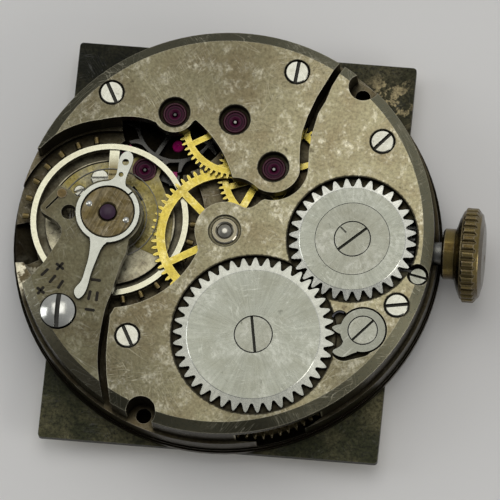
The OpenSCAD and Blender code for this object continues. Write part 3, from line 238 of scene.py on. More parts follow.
PLATE = Finish(
    "plate", face=(0.11, 0.095, 0.058), slope=(0.12, 0.11, 0.075), wall=(0.06, 0.05, 0.032),
    stain=(0.07, 0.048, 0.022), stain_amount=0.6, stain_size=1.0, bloom=(0.6, 0.56, 0.42),
    bloom_amount=0.9, bloom_place=Area(-11.2, -2.9, 1.5), mottle=0.5, roughness=0.3, scratch=0.8,
    grime_and_shade=0.95, corner_reach=0.6, edge=0.03, edge_wear_and_highlight=0.6, hub=(0.42, 0.39, 0.27), hub_from=3.75,
    hub_to=4.3, sunk_from=0.25, sunk_to=0.6, sunk_shade=0.1)
GILT = Finish(
    "gilt", face=(0.2, 0.165, 0.052), slope=(0.2, 0.17, 0.07), wall=(0.06, 0.045, 0.02),
    stain=(0.2, 0.185, 0.125), stain_amount=0.9, stain_size=1.1, bloom=(0.5, 0.44, 0.2),
    bloom_amount=0.6, bloom_size=0.7, mottle=0.45, roughness=0.3, scratch=0.8, grime_and_shade=0.85,
    edge_wear_and_highlight=0.6)
# Painted light and shade: the shades darken the dial's top left and lighten its two lower corners.
DIAL_BACK = Finish(
    "dial_back", face=(0.019, 0.02, 0.009), slope=(0.025, 0.025, 0.014), wall=(0.018, 0.017, 0.01),
    stain=(0.075, 0.068, 0.035), stain_amount=0.9, stain_size=2.4, bloom=(0.45, 0.37, 0.2),
    bloom_amount=0.9, bloom_size=0.75, bloom_place=Area(8.2, 9.0, 2.0), mottle=0.9, metallic=0.1,
    specular=0.12, roughness=0.5, scratch=0.5, grime_and_shade=0.5, edge_wear_and_highlight=0.5, front=(0.56, 0.53, 0.43),
    shades=(Area(-8.5, 11.0, 6.0, 0.5), Area(-9.0, -11.0, 7.0, 1.7), Area(9.0, -11.5, 7.0, 1.9)))
WINDING_STEEL = Finish(
    "winding_steel", face=(0.335, 0.345, 0.288), slope=(0.85, 0.85, 0.77), wall=(0.12, 0.1, 0.06),
    stain=(0.25, 0.25, 0.19), stain_amount=0.45, bloom=(0.66, 0.67, 0.6), bloom_amount=0.35,
    bloom_size=2.2, mottle=0.2, roughness=0.27, slope_roughness=0.16, grain=Grain.SUNRAY,
    grain_depth=1.2, swept=0.75, scratch=0.7, grime_and_shade=0.8, edge_wear_and_highlight=0.4)
CORE_STEEL = Finish(
    "core_steel", face=(0.32, 0.325, 0.268), slope=(0.34, 0.34, 0.3), wall=(0.06, 0.052, 0.034),
    stain=(0.22, 0.215, 0.16), stain_amount=0.5, bloom=(0.6, 0.6, 0.54), bloom_amount=0.4,
    mottle=0.22, roughness=0.28, grain=Grain.SUNRAY, grain_depth=1.0, swept=0.6, scratch=0.6,
    grime_and_shade=0.6, corner_reach=0.15, edge_wear_and_highlight=0.5, sunk_from=0.03, sunk_to=0.06, sunk_shade=0.1)
SCREW_STEEL = Finish(
    "screw_steel", face=(0.54, 0.54, 0.46), slope=(0.34, 0.34, 0.29), wall=(0.035, 0.03, 0.022),
    stain=(0.38, 0.36, 0.28), stain_amount=0.4, stain_size=0.5, mottle=0.22, roughness=0.24,
    slope_roughness=0.2, grain=Grain.STRAIGHT, grain_depth=0.4, scratch=0.6, grime_and_shade=0.7,
    corner_reach=0.15, edge_wear_and_highlight=0.3, sunk_from=0.07, sunk_to=0.13, sunk_shade=0.06)
DOME_STEEL = Finish(
    "dome_steel", face=(0.72, 0.72, 0.67), slope=(0.6, 0.6, 0.55), wall=(0.08, 0.075, 0.06),
    stain=(0.4, 0.4, 0.35), stain_amount=0.2, mottle=0.08, roughness=0.2, slope_roughness=0.18,
    grain=Grain.POLISHED, scratch=0.3, grime_and_shade=0.8, corner_reach=0.2, sunk_from=0.2, sunk_to=0.26,
    sunk_shade=0.04)
BUSH_STEEL = Finish(
    "bush_steel", face=(0.25, 0.225, 0.155), slope=(0.52, 0.49, 0.4), wall=(0.1, 0.09, 0.065),
    stain=(0.2, 0.18, 0.12), stain_amount=0.3, stain_size=0.5, mottle=0.15, roughness=0.16,
    slope_roughness=0.1, grain=Grain.POLISHED, scratch=0.3, grime_and_shade=0.9, corner_reach=0.2, edge=0.03,
    edge_wear_and_highlight=0.6)
REGULATOR_STEEL = Finish(
    "regulator_steel", face=(0.46, 0.47, 0.41), slope=(0.4, 0.4, 0.35), wall=(0.05, 0.045, 0.035),
    stain=(0.33, 0.33, 0.28), stain_amount=0.35, mottle=0.14, roughness=0.24, grain=Grain.POLISHED,
    scratch=0.5, grime_and_shade=0.5, corner_reach=0.1, edge_wear_and_highlight=0.3)
CLICK_STEEL = Finish(
    "click_steel", face=(0.25, 0.255, 0.21), slope=(0.32, 0.32, 0.27), wall=(0.06, 0.052, 0.035),
    stain=(0.22, 0.22, 0.17), stain_amount=0.35, mottle=0.2, roughness=0.28, grain=Grain.STRAIGHT,
    grain_depth=0.5, scratch=0.7, grime_and_shade=0.7, edge_wear_and_highlight=0.5)
PLAIN_STEEL = Finish(
    "plain_steel", face=(0.24, 0.24, 0.22), slope=(0.3, 0.3, 0.28), wall=(0.12, 0.115, 0.1),
    stain=(0.14, 0.125, 0.09), stain_amount=0.35, mottle=0.12, roughness=0.26, grain=Grain.POLISHED,
    scratch=0.25, grime_and_shade=0.8)
ESCAPE_STEEL = Finish(
    "escape_steel", face=(0.075, 0.075, 0.07), slope=(0.12, 0.12, 0.115),
    wall=(0.045, 0.043, 0.036), stain=(0.05, 0.04, 0.03), stain_amount=0.4, mottle=0.15,
    roughness=0.25, grain=Grain.POLISHED, scratch=0.2, grime_and_shade=0.8)
HAIRSPRING_STEEL = Finish(
    "hairspring_steel", face=(0.12, 0.12, 0.11), slope=(0.2, 0.2, 0.19), wall=(0.09, 0.09, 0.085),
    stain=(0.07, 0.06, 0.05), stain_amount=0.2, mottle=0.05, roughness=0.25, grain=Grain.POLISHED,
    scratch=0.0, grime_and_shade=0.3)
BLUED_STEEL = Finish(
    "blued_steel", face=(0.05, 0.052, 0.058), slope=(0.05, 0.052, 0.058), wall=(0.03, 0.032, 0.036),
    stain=(0.05, 0.04, 0.04), stain_amount=0.2, mottle=0.05, roughness=0.25, grain=Grain.POLISHED,
    scratch=0.0, grime_and_shade=0.3)
WHEEL_BRASS = Finish(
    "wheel_brass", face=(0.54, 0.43, 0.075), slope=(0.85, 0.74, 0.27), wall=(0.3, 0.21, 0.035),
    stain=(0.34, 0.26, 0.06), stain_amount=0.5, stain_size=0.7, bloom=(0.9, 0.82, 0.4),
    bloom_amount=0.5, bloom_size=0.5, mottle=0.3, roughness=0.22, grain=Grain.STRAIGHT,
    grain_depth=0.6, scratch=0.5, grime_and_shade=0.8, corner_reach=0.2, edge=0.03, edge_wear_and_highlight=0.9)
BARREL_BRASS = Finish(
    "barrel_brass", face=(0.3, 0.24, 0.11), slope=(0.4, 0.32, 0.15), wall=(0.2, 0.16, 0.075),
    stain=(0.12, 0.09, 0.04), stain_amount=0.5, mottle=0.25, roughness=0.3, grain=Grain.TURNED,
    grain_depth=0.4, scratch=0.3, grime_and_shade=0.9, edge_wear_and_highlight=0.8)
BALANCE_ALLOY = Finish(
    "balance_alloy", face=(0.58, 0.57, 0.43), slope=(0.5, 0.48, 0.35), wall=(0.16, 0.14, 0.085),
    stain=(0.4, 0.35, 0.22), stain_amount=0.3, mottle=0.16, roughness=0.18, grain=Grain.TURNED,
    grain_depth=0.4, scratch=0.3, grime_and_shade=0.3, corner_reach=0.1, edge=0.03, edge_wear_and_highlight=0.5,
    hub=(0.16, 0.13, 0.06), hub_from=3.0, hub_to=3.9)
TIMING_BRASS = Finish(
    "timing_brass", face=(0.11, 0.08, 0.035), slope=(0.3, 0.23, 0.09), wall=(0.07, 0.05, 0.02),
    stain=(0.04, 0.03, 0.015), stain_amount=0.5, stain_size=0.6, mottle=0.3, roughness=0.22,
    grain=Grain.POLISHED, scratch=0.1, grime_and_shade=0.6, corner_reach=0.15, edge=0.03, edge_wear_and_highlight=0.7)
BRONZE = Finish(
    "bronze", face=(0.115, 0.088, 0.038), slope=(0.16, 0.125, 0.06), wall=(0.05, 0.036, 0.02),
    stain=(0.19, 0.16, 0.1), stain_amount=0.8, stain_size=0.7, mottle=0.35, roughness=0.34,
    grain=Grain.STRAIGHT, grain_depth=4.0, grain_turn=-68.0, grain_per_mm=9.0, scratch=1.0,
    grime_and_shade=0.6, corner_reach=0.12)
CROWN_METAL = Finish(
    "crown_metal", face=(0.1, 0.07, 0.022), slope=(0.2, 0.15, 0.052), wall=(0.07, 0.048, 0.015),
    stain=(0.035, 0.024, 0.01), stain_amount=0.6, stain_size=0.7, mottle=0.4, roughness=0.28,
    slope_roughness=0.22, scratch=0.2, grime_and_shade=1.0, corner_reach=0.3, edge=0.04, edge_wear_and_highlight=0.9)
INK = Finish(
    "mark_filling", face=(0.012, 0.01, 0.006), slope=(0.012, 0.01, 0.006),
    wall=(0.01, 0.008, 0.005), stain=(0.04, 0.03, 0.02), stain_amount=0.4, mottle=0.3, metallic=0.0,
    specular=0.2, roughness=0.6, scratch=0.0, grime_and_shade=0.0)
COLLAR = Finish(
    "jewel_collar", face=(0.055, 0.014, 0.024), slope=(0.1, 0.03, 0.045), wall=(0.02, 0.01, 0.012),
    stain=(0.03, 0.018, 0.015), stain_amount=0.4, stain_size=0.3, mottle=0.3, metallic=0.6,
    roughness=0.25, grain=Grain.POLISHED, scratch=0.0, grime_and_shade=0.4, corner_reach=0.1)
# Painted shade and highlight: a dark face round a bright hub at the arbor's end.
PIVOT_STEEL = Finish(
    "pivot_steel", face=(0.035, 0.03, 0.022), slope=(0.3, 0.29, 0.25), wall=(0.12, 0.115, 0.1),
    stain=(0.03, 0.025, 0.02), stain_amount=0.3, mottle=0.12, roughness=0.2, grain=Grain.TURNED,
    scratch=0.0, grime_and_shade=0.5, hub=(0.62, 0.6, 0.52), hub_from=0.12, hub_to=0.17)
RUBY = Stone(
    "ruby", body=(0.085, 0.009, 0.038), deep=(0.011, 0.001, 0.006), roughness=0.2, specular=0.05,
    ring_shaded=True)
BRIGHT_RUBY = Stone("bright_ruby", body=(0.62, 0.012, 0.22), deep=(0.3, 0.006, 0.1))
CAP_RUBY = Stone("cap_ruby", body=(0.04, 0.016, 0.038), deep=(0.028, 0.01, 0.024), roughness=0.3)


def faded(tone: Tone, share: float) -> Tone:
    """A colour with only a share of its brightness."""
    return tuple(share * part for part in tone)


def bared(tone: Tone, lift: float = 0.16, gain: float = 1.4) -> Tone:
    """The colour of a metal where wear has laid it bare."""
    return tuple(min(1.0, lift + gain * part) for part in tone)


class Graph:
    """The node tree of one material, built by short calls that return sockets."""

    CORNER_SAMPLES = 6
    EDGE_SAMPLES = 4
    SCRATCH_STRETCH = (0.22, 2.4)
    BREAKS_PER_MM = 0.5
    BREAK_SPAN = (0.53, 0.66)

    def __init__(self, name: str) -> None:
        """Makes an empty material.

        Args:
            name: The material's name.
        """
        self.material = bpy.data.materials.new(name)
        self.material.use_nodes = True
        self.tree = self.material.node_tree
        self.tree.nodes.clear()
        self.place = self.tree.nodes.new("ShaderNodeTexCoord").outputs["Object"]

    def add(self, kind: str, **values: object) -> bpy.types.Node:
        """Adds a node.

        Args:
            kind: The node's class, without the words ShaderNode in front.
            values: Input names, with spaces as underscores, and their values or sockets.

        Returns:
            The new node.
        """
        node = self.tree.nodes.new("ShaderNode" + kind)
        for key, value in values.items():
            self.put(node.inputs[key.replace("_", " ")], value)
        return node

    def put(self, socket: Socket, value: object) -> None:
        """Links a socket to an input, or sets the input's value.

        Args:
            socket: The input.
            value: A socket, a number or a colour.
        """
        if isinstance(value, bpy.types.NodeSocket):
            self.tree.links.new(value, socket)
        elif isinstance(value, tuple) and socket.type == "RGBA":
            socket.default_value = (*value, 1.0)
        else:
            socket.default_value = value

    def math(self, operation: str, a: object, b: object = 0.0) -> Socket:
        """A math node.

        Args:
            operation: The operation's name.
            a: The first value.
            b: The second value.

        Returns:
            The result.
        """
        node = self.add("Math")
        node.operation = operation
        self.put(node.inputs[0], a)
        self.put(node.inputs[1], b)
        return node.outputs[0]

    def vector(self, operation: str, a: object, b: object) -> Socket:
        """A vector math node.

        Args:
            operation: The operation's name.
            a: The first vector.
            b: The second vector.

        Returns:
            The result: a number for LENGTH and DOT_PRODUCT, and a vector otherwise.
        """
        node = self.add("VectorMath")
        node.operation = operation
        self.put(node.inputs[0], a)
        self.put(node.inputs[1], b)
        return node.outputs["Value" if operation in ("LENGTH", "DOT_PRODUCT") else "Vector"]

    def part(self, vector: Socket, axis: int) -> Socket:
        """One part of a vector: 0 for X, 1 for Y and 2 for Z."""
        return self.add("SeparateXYZ", Vector=vector).outputs[axis]

    def span(self, value: Socket, low: float, high: float, out: Pair = (0.0, 1.0)) -> Socket:
        """Maps a value from one span to another, clamped.

        Args:
            value: The value.
            low: The span's low end.
            high: The span's high end.
            out: The ends it maps to.

        Returns:
            The mapped value.
        """
        node = self.add("MapRange", Value=value)
        for index, number in enumerate((low, high, *out), start=1):
            node.inputs[index].default_value = number
        return node.outputs[0]

    def mix(self, share: object, a: object, b: object) -> Socket:
        """Mixes two colours.

        Args:
            share: How much of the second.
            a: The first colour.
            b: The second colour.

        Returns:
            The mixed colour.
        """
        node = self.add("Mix")
        node.data_type = "RGBA"
        self.put(node.inputs[0], share)
        self.put(node.inputs[6], a)
        self.put(node.inputs[7], b)
        return node.outputs[2]

    def shaded(self, tone: Socket, shade: Socket) -> Socket:
        """A colour made lighter or darker.

        Args:
            tone: The colour.
            shade: The number it is multiplied by.

        Returns:
            The new colour.
        """
        node = self.add("VectorMath")
        node.operation = "SCALE"
        self.put(node.inputs[0], tone)
        self.put(node.inputs["Scale"], shade)
        return node.outputs["Vector"]

    def ramp(self, value: Socket, stops: tuple[Pair, ...]) -> Socket:
        """A shade taken from a row of shades.

        Args:
            value: The place in the row, from 0 to 1.
            stops: The places and their shades.

        Returns:
            The shade.
        """
        node = self.add("ValToRGB", Fac=value)
        row = node.color_ramp.elements
        while len(row) < len(stops):
            row.new(1.0)
        for element, (where, shade) in zip(row, stops):
            element.position = where
            element.color = (shade, shade, shade, 1.0)
        return node.outputs[0]

    def from_centre(self, centre: Pair) -> Socket:
        """The way from an upright axis to the point, in metres, for an axis in millimetres."""
        return self.vector("SUBTRACT", self.place, (centre[0] * MM, centre[1] * MM, 0.0))

    def flat_distance(self, x: float, y: float) -> Socket:
        """The point's distance from an upright axis, in millimetres."""
        flat = self.vector("MULTIPLY", self.from_centre((x, y)), (1 / MM, 1 / MM, 0.0))
        return self.vector("LENGTH", flat, (0.0, 0.0, 0.0))

    def within(self, area: Area, core: float, out: Pair) -> Socket:
        """A value that changes from a round area's core, a share of its reach, to its edge."""
        distance = self.flat_distance(area.x, area.y)
        return self.span(distance, core * area.reach, area.reach, out)

    def scaled(self, per_mm: Triple, turn: float = 0.0) -> Socket:
        """The place on the object, turned about Z and scaled.

        Args:
            per_mm: The scale along each axis, in parts per millimetre.
            turn: The turn about Z, in degrees.

        Returns:
            The scaled place.
        """
        turned = self.add("Mapping", Vector=self.place)
        turned.inputs["Rotation"].default_value = (0.0, 0.0, math.radians(turn))
        factors = tuple(n / MM for n in per_mm)
        return self.vector("MULTIPLY", turned.outputs[0], factors)

    def noise(self, where: Socket, detail: float = 3.0, rough: float = 0.55) -> Socket:
        """Cloudy noise between 0 and 1, with a number of finer layers and their strength."""
        node = self.add("TexNoise", Vector=where, Scale=1.0, Detail=detail, Roughness=rough)
        return node.outputs[0]

    def clouds(self, per_mm: float, detail: float = 3.0, rough: float = 0.55,
               turn: float = 0.0) -> Socket:
        """Noise that is as fine along every axis, in parts per millimetre."""
        return self.noise(self.scaled((per_mm, per_mm, per_mm), turn), detail, rough)

    def hairline(self, way: Hairline) -> Socket:
        """Fine straight scratches, as the level lines of a stretched noise.

        Args:
            way: Their direction, how close they lie and how wide they are.

        Returns:
            1 on a scratch, and 0 off it.
        """
        along, across = (way.fineness * stretch for stretch in self.SCRATCH_STRETCH)
        waves = self.noise(self.scaled((along, across, 1.0), way.turn), 1.0)
        off = self.math("ABSOLUTE", self.math("SUBTRACT", waves, 0.5))
        line = self.span(off, 0.0, way.width, FALLING)
        broken = self.clouds(self.BREAKS_PER_MM, 2.0, turn=2.0 * way.turn)
        return self.math("MULTIPLY", line, self.span(broken, *self.BREAK_SPAN))

    def hairlines(self, ways: tuple[Hairline, ...]) -> Socket:
        """Fine scratches that run several ways.

        Args:
            ways: The directions.

        Returns:
            1 on a scratch, and 0 off it.
        """
        marks = self.hairline(ways[0])
        for way in ways[1:]:
            marks = self.math("MAXIMUM", marks, self.hairline(way))
        return marks

    def openness(self, reach: float) -> Socket:
        """How open a point lies.

        Args:
            reach: How far is looked for what stands near, in millimetres.

        Returns:
            1 where nothing stands near, and 0 in a corner.
        """
        near = self.add("AmbientOcclusion", Distance=reach * MM)
        near.samples = self.CORNER_SAMPLES
        return near.outputs["AO"]

    def rounded(self, radius: float) -> Socket:
        """The surface's normal with its edges rounded.

        Args:
            radius: The edges' radius, in millimetres.

        Returns:
            The normal.
        """
        bevel = self.add("Bevel", Radius=radius * MM)
        bevel.samples = self.EDGE_SAMPLES
        return bevel.outputs[0]

    def output(self, shader: bpy.types.Node) -> bpy.types.Material:
        """Ends the graph with the shader that the material shows."""
        self.tree.links.new(shader.outputs[0], self.add("OutputMaterial").inputs[0])
        return self.material


class MetalCoat:
    """The material of one metal finish, from what is read off the surface to its shader.

    A pair of values is the span over which an effect grows, or what it grows from and to.
    """

    LEVEL = (0.965, 0.995)
    WALL = (0.25, 0.6)
    LOOKS_DOWN = -0.5
    FROST_PER_MM = 18.0
    POLISH_PER_MM = 2.0
    RAYS = 26.0
    RAY_WAVES_PER_MM = 0.45
    RINGS_PER_MM = 22.0
    RING_WAVES = 0.4
    GRAIN_SPAN = (0.2, 0.8)
    GRAIN_SHADES = (-0.16, 0.12)
    SPECKS_PER_MM = 5.5
    SPECK_SPAN = (0.3, 0.7)
    SLOPE_SPECKS = (0.35, 0.75)
    SLOPE_STAIN = 0.3
    STAIN_SPAN = (0.42, 0.64)
    SPOTS_PER_MM = 1.6
    SPOT_SPAN = (0.69, 0.74)
    SPOT_SHADE = 0.3
    SCUFF_TURN = 40.0
    SCUFF_SPANS = ((0.5, 0.64), (0.42, 0.6))
    PLACED_SCUFF_SPANS = ((0.5, 0.55), (0.3, 0.42))
    PLACED_SCUFF_CORE = 0.4
    CRUMBS_PER_MM = (4.2, 2.6, 3.0)
    CRUMB_TURN = -25.0
    SCRATCHES = (Hairline(27.0, 1.0, 0.012), Hairline(-48.0, 1.7, 0.015), Hairline(78.0, 1.2, 0.01),
                 Hairline(-12.0, 2.6, 0.02), Hairline(55.0, 3.1, 0.022))
    SCRATCH_SHOWS = 0.7
    SCRATCH_DEPTH = 0.6
    DIRTY_SCRATCHES = (Hairline(118.0, 2.2, 0.014), Hairline(8.0, 1.3, 0.01))
    DIRTY_SCRATCH_SHOWS = 0.5
    DIRTY_SCRATCH_SHADE = 0.35
    CORNER = (0.35, 0.92)
    DIRT_AND_SHADE_SHARE = 0.08
    DIRT_ROUGHNESS = 0.35
    OUTLINE_MM = (0.025, 0.085)
    OUTLINE_RAG_MM = (-0.02, 0.03)
    OUTLINE_SHOWS = 0.85
    EDGE_WIDTH = 3.0
    EDGE_TURN = (0.86, 0.99)
    EDGE_OPEN = (0.7, 0.95)
    SIDE_MM = 8.0
    SHADE_CORE = 0.3
    SPECK_ROUGHNESS = (-0.06, 0.1)
    LEAST_ROUGHNESS = 0.06
    BUMP_MM = 0.012
    BUMP_STRENGTH = 0.35

    def __init__(self, finish: Finish, centre: Pair, top: float, seats: tuple[Disc, ...]) -> None:
        """Reads off the surface what the colours and the shader need.

        Args:
            finish: The finish.
            centre: The centre that turned or sunray marks run round, in millimetres.
            top: The height that sunk faces are measured down from, in millimetres.
            seats: The round holes that dark outlines of dirt and painted shadow ring.
        """
        self.finish = finish
        self.centre = centre
        self.top = top
        self.graph = Graph(finish.name)
        self.facing = self.graph.add("NewGeometry").outputs["True Normal"]
        self.upright = self.graph.part(self.facing, 2)
        level = self.graph.math("ABSOLUTE", self.upright)
        self.flat = self.graph.span(level, *self.LEVEL)
        # How upright a face is, for the wall colour's painted shade.
        self.wall = self.graph.span(level, *self.WALL, FALLING)
        self.speck = self.graph.clouds(self.SPECKS_PER_MM, 4.0, 0.68)
        self.grain = self.worked_grain()
        self.open = self.graph.openness(finish.corner_reach)
        scratches = self.graph.hairlines(self.SCRATCHES)
        self.marks = self.graph.math("MULTIPLY", scratches, finish.scratch)
        self.dirt_and_shade = self.gathered_dirt_and_shade(seats)

    def worked_grain(self) -> Socket:
        """The fine marks of the surface's working.

        Returns:
            Their height, between 0 and 1.
        """
        graph, finish = self.graph, self.finish
        if finish.grain is Grain.FROSTED:
            return graph.clouds(self.FROST_PER_MM, 3.0, 0.7)
        if finish.grain is Grain.STRAIGHT:
            fine = finish.grain_per_mm
            return graph.noise(graph.scaled((0.04 * fine, fine, 1.2), finish.grain_turn), 2.0, 0.6)
        if finish.grain is Grain.POLISHED:
            return graph.clouds(self.POLISH_PER_MM, 2.0, 0.5)
        offset = graph.from_centre(self.centre)
        angle = graph.math("ARCTAN2", graph.part(offset, 1), graph.part(offset, 0))
        radius = graph.flat_distance(*self.centre)
        if finish.grain is Grain.SUNRAY:
            ray = graph.add("CombineXYZ",
                            X=graph.math("MULTIPLY", graph.math("COSINE", angle), self.RAYS),
                            Y=graph.math("MULTIPLY", graph.math("SINE", angle), self.RAYS),
                            Z=graph.math("MULTIPLY", radius, self.RAY_WAVES_PER_MM))
            return graph.noise(ray.outputs[0], 3.0, 0.6)
        ring = graph.add("CombineXYZ", X=graph.math("MULTIPLY", radius, self.RINGS_PER_MM),
                         Y=graph.math("MULTIPLY", angle, self.RING_WAVES))
        return graph.noise(ring.outputs[0], 2.0, 0.6)

    def gathered_dirt_and_shade(self, seats: tuple[Disc, ...]) -> Socket:
        """Dirt and painted shade in corners and round the edges of round seats.

        Args:
            seats: The seats.

        Returns:
            How dirty and shaded a point is, from 0 to 1.
        """
        graph = self.graph
        corner = graph.span(self.open, *self.CORNER, FALLING)
        dirt_and_shade = graph.math("MULTIPLY", corner, self.finish.grime_and_shade)
        if not seats:
            return dirt_and_shade
        nearest = None
        for seat in seats:
            off = graph.math("SUBTRACT", graph.flat_distance(seat.x, seat.y), seat.radius)
            off = graph.math("ABSOLUTE", off)
            nearest = off if nearest is None else graph.math("MINIMUM", nearest, off)
        ragged = graph.span(self.speck, *self.SPECK_SPAN, self.OUTLINE_RAG_MM)
        ragged = graph.math("ADD", nearest, ragged)
        outlines = graph.span(ragged, *self.OUTLINE_MM, (self.OUTLINE_SHOWS, 0.0))
        return graph.math("MAXIMUM", dirt_and_shade, outlines)

    def face_tone(self) -> Socket:
        """The colour of flat faces, with its stains, pale scuffs, dark spots and mottling.

        Returns:
            The colour.
        """
        graph, finish = self.graph, self.finish
        base = finish.face
        if finish.hub_to:
            distance = graph.flat_distance(*self.centre)
            inside = graph.span(distance, finish.hub_from, finish.hub_to, FALLING)
            base = graph.mix(inside, base, finish.hub)
        cloud = graph.clouds(1 / finish.stain_size, 5.0, 0.62)
        stained = graph.math("MULTIPLY", graph.span(cloud, *self.STAIN_SPAN), finish.stain_amount)
        base = graph.mix(stained, base, finish.stain)
        if finish.bloom_amount:
            scuffed = graph.math("MULTIPLY", self.bloom(), finish.bloom_amount)
            base = graph.mix(scuffed, base, finish.bloom)
        cloud = graph.clouds(self.SPOTS_PER_MM, 3.0, turn=15.0)
        spots = graph.span(cloud, *self.SPOT_SPAN, (0.0, finish.stain_amount))
        base = graph.mix(spots, base, faded(finish.stain, self.SPOT_SHADE))
        mottled = (1.0 - finish.mottle, 1.0 + finish.mottle * 0.8)
        return graph.shaded(base, graph.span(self.speck, *self.SPECK_SPAN, mottled))

    def bloom(self) -> Socket:
        """Where the surface is scuffed pale.

        Returns:
            How scuffed a point is, from 0 to 1.
        """
        graph, finish = self.graph, self.finish
        per_mm = (1 / finish.bloom_size, 0.8 / finish.bloom_size, 1.0)
        patch = graph.noise(graph.scaled(per_mm, self.SCUFF_TURN), 4.0, 0.7)
        crumbs = graph.noise(graph.scaled(self.CRUMBS_PER_MM, self.CRUMB_TURN), 4.0, 0.75)
        spans = self.PLACED_SCUFF_SPANS if finish.bloom_place else self.SCUFF_SPANS
        bloom = graph.math("MULTIPLY", graph.span(patch, *spans[0]), graph.span(crumbs, *spans[1]))
        if not finish.bloom_place:
            return bloom
        inside = graph.within(finish.bloom_place, self.PLACED_SCUFF_CORE, FALLING)
        return graph.math("MULTIPLY", bloom, inside)

    def shaded_by_place(self, base: Socket) -> Socket:
        """A colour with painted light and shade: lighter towards the lit side, and changed in the
        shaded areas.

        Args:
            base: The colour.

        Returns:
            The new colour.
        """
        graph, finish = self.graph, self.finish
        if finish.lit_side:
            across = graph.part(graph.place, 0)
            reach = self.SIDE_MM * MM
            base = graph.shaded(base, graph.span(across, -reach, reach, finish.lit_side))
        for area in finish.shades:
            base = graph.shaded(base, graph.within(area, self.SHADE_CORE, (area.shade, 1.0)))
        return base

    def worn_and_highlighted_edges(self) -> Socket:
        """Where an outward edge is bright, with wear and a painted highlight.

        Returns:
            How bright an edge is at a point, from 0 to 1.
        """
        graph, finish = self.graph, self.finish
        soft = graph.rounded(self.EDGE_WIDTH * finish.edge)
        turned = graph.vector("DOT_PRODUCT", soft, self.facing)
        turned = graph.span(turned, *self.EDGE_TURN, FALLING)
        bright_edge = graph.math("MULTIPLY", turned, finish.edge_wear_and_highlight)
        return graph.math("MULTIPLY", bright_edge, graph.span(self.open, *self.EDGE_OPEN))

    def sunk(self) -> Socket:
        """The painted shade of flat faces that lie under the node's top.

        Returns:
            The shade.
        """
        graph, finish = self.graph, self.finish
        depth = graph.math("SUBTRACT", self.top * MM, graph.part(graph.place, 2))
        low = graph.span(depth, finish.sunk_from * MM, finish.sunk_to * MM)
        low = graph.math("MULTIPLY", low, self.flat)
        low = graph.math("MULTIPLY", low, 1.0 - finish.sunk_shade)
        return graph.math("SUBTRACT", 1.0, low)

    def tone(self) -> Socket:
        """The whole surface's colour, from clean metal to the dirt that lies on it.

        Returns:
            The colour.
        """
        graph, finish = self.graph, self.finish
        stained = graph.span(self.speck, *self.SLOPE_SPECKS, (0.0, self.SLOPE_STAIN))
        slope = graph.mix(stained, finish.slope, finish.stain)
        # Painted light and shade by place.
        base = self.shaded_by_place(graph.mix(self.flat, slope, self.face_tone()))
        if finish.front:
            down = graph.math("LESS_THAN", self.upright, self.LOOKS_DOWN)
            base = graph.mix(down, base, finish.front)
        grained = tuple(1.0 + shade * finish.grain_depth for shade in self.GRAIN_SHADES)
        base = graph.shaded(base, graph.span(self.grain, *self.GRAIN_SPAN, grained))
        bare = bared(finish.face)
        base = graph.mix(graph.math("MULTIPLY", self.marks, self.SCRATCH_SHOWS), base, bare)
        dirty = graph.hairlines(self.DIRTY_SCRATCHES)
        dirty = graph.math("MULTIPLY", dirty, self.DIRTY_SCRATCH_SHOWS * finish.scratch)
        base = graph.mix(dirty, base, faded(finish.stain, self.DIRTY_SCRATCH_SHADE))
        # Upright faces take the wall colour, a painted shade.
        base = graph.mix(self.wall, base, finish.wall)
        # Open outward edges are brightened: wear and a painted highlight.
        if finish.edge_wear_and_highlight:
            base = graph.mix(self.worn_and_highlighted_edges(), base, bare)
        # Flat faces under the top take a painted shade.
        if finish.sunk_to:
            base = graph.shaded(base, self.sunk())
        # Corners and the rims of seats are darkened: dirt and painted shade.
        return graph.mix(self.dirt_and_shade, base, faded(finish.stain, self.DIRT_AND_SHADE_SHARE))

    def roughness(self) -> Socket:
        """How rough the surface is, with its specks and its dirt.

        Returns:
            The roughness.
        """
        graph, finish = self.graph, self.finish
        worked = graph.span(self.flat, 0.0, 1.0, (finish.slope_roughness, finish.roughness))
        specks = graph.span(self.speck, *self.SPECK_SPAN, self.SPECK_ROUGHNESS)
        rough = graph.math("ADD", specks, worked)
        rough = graph.math("ADD", rough, graph.math("MULTIPLY", self.dirt_and_shade, self.DIRT_ROUGHNESS))
        return graph.math("MAXIMUM", rough, self.LEAST_ROUGHNESS)

    def normal(self) -> Socket:
        """The surface's normal, with rounded edges, grain, specks and scratches.

        Returns:
            The normal.
        """
        graph, finish = self.graph, self.finish
        height = graph.math("ADD", graph.math("MULTIPLY", self.grain, finish.grain_depth),
                            graph.math("MULTIPLY", self.speck, 0.5 * finish.mottle))
        scratched = graph.math("MULTIPLY", self.marks, self.SCRATCH_DEPTH)
        height = graph.math("SUBTRACT", height, scratched)
        bump = graph.add("Bump", Strength=self.BUMP_STRENGTH, Distance=self.BUMP_MM * MM,
                         Height=height, Normal=graph.rounded(finish.edge))
        return bump.outputs[0]

    def material(self) -> bpy.types.Material:
        """Puts the shader together.

        Returns:
            The material.
        """
        graph, finish = self.graph, self.finish
        shader = graph.add("BsdfPrincipled", Base_Color=self.tone(), Metallic=finish.metallic,
                           Roughness=self.roughness(), Normal=self.normal())
        shader.inputs["Specular IOR Level"].default_value = finish.specular
        if finish.swept:
            shader.inputs["Anisotropic"].default_value = finish.swept
            ray = graph.vector("MULTIPLY", graph.from_centre(self.centre), (1 / MM, 1 / MM, 0.0))
            graph.put(shader.inputs["Tangent"], graph.vector("NORMALIZE", ray, (0.0, 0.0, 0.0)))
        return graph.output(shader)


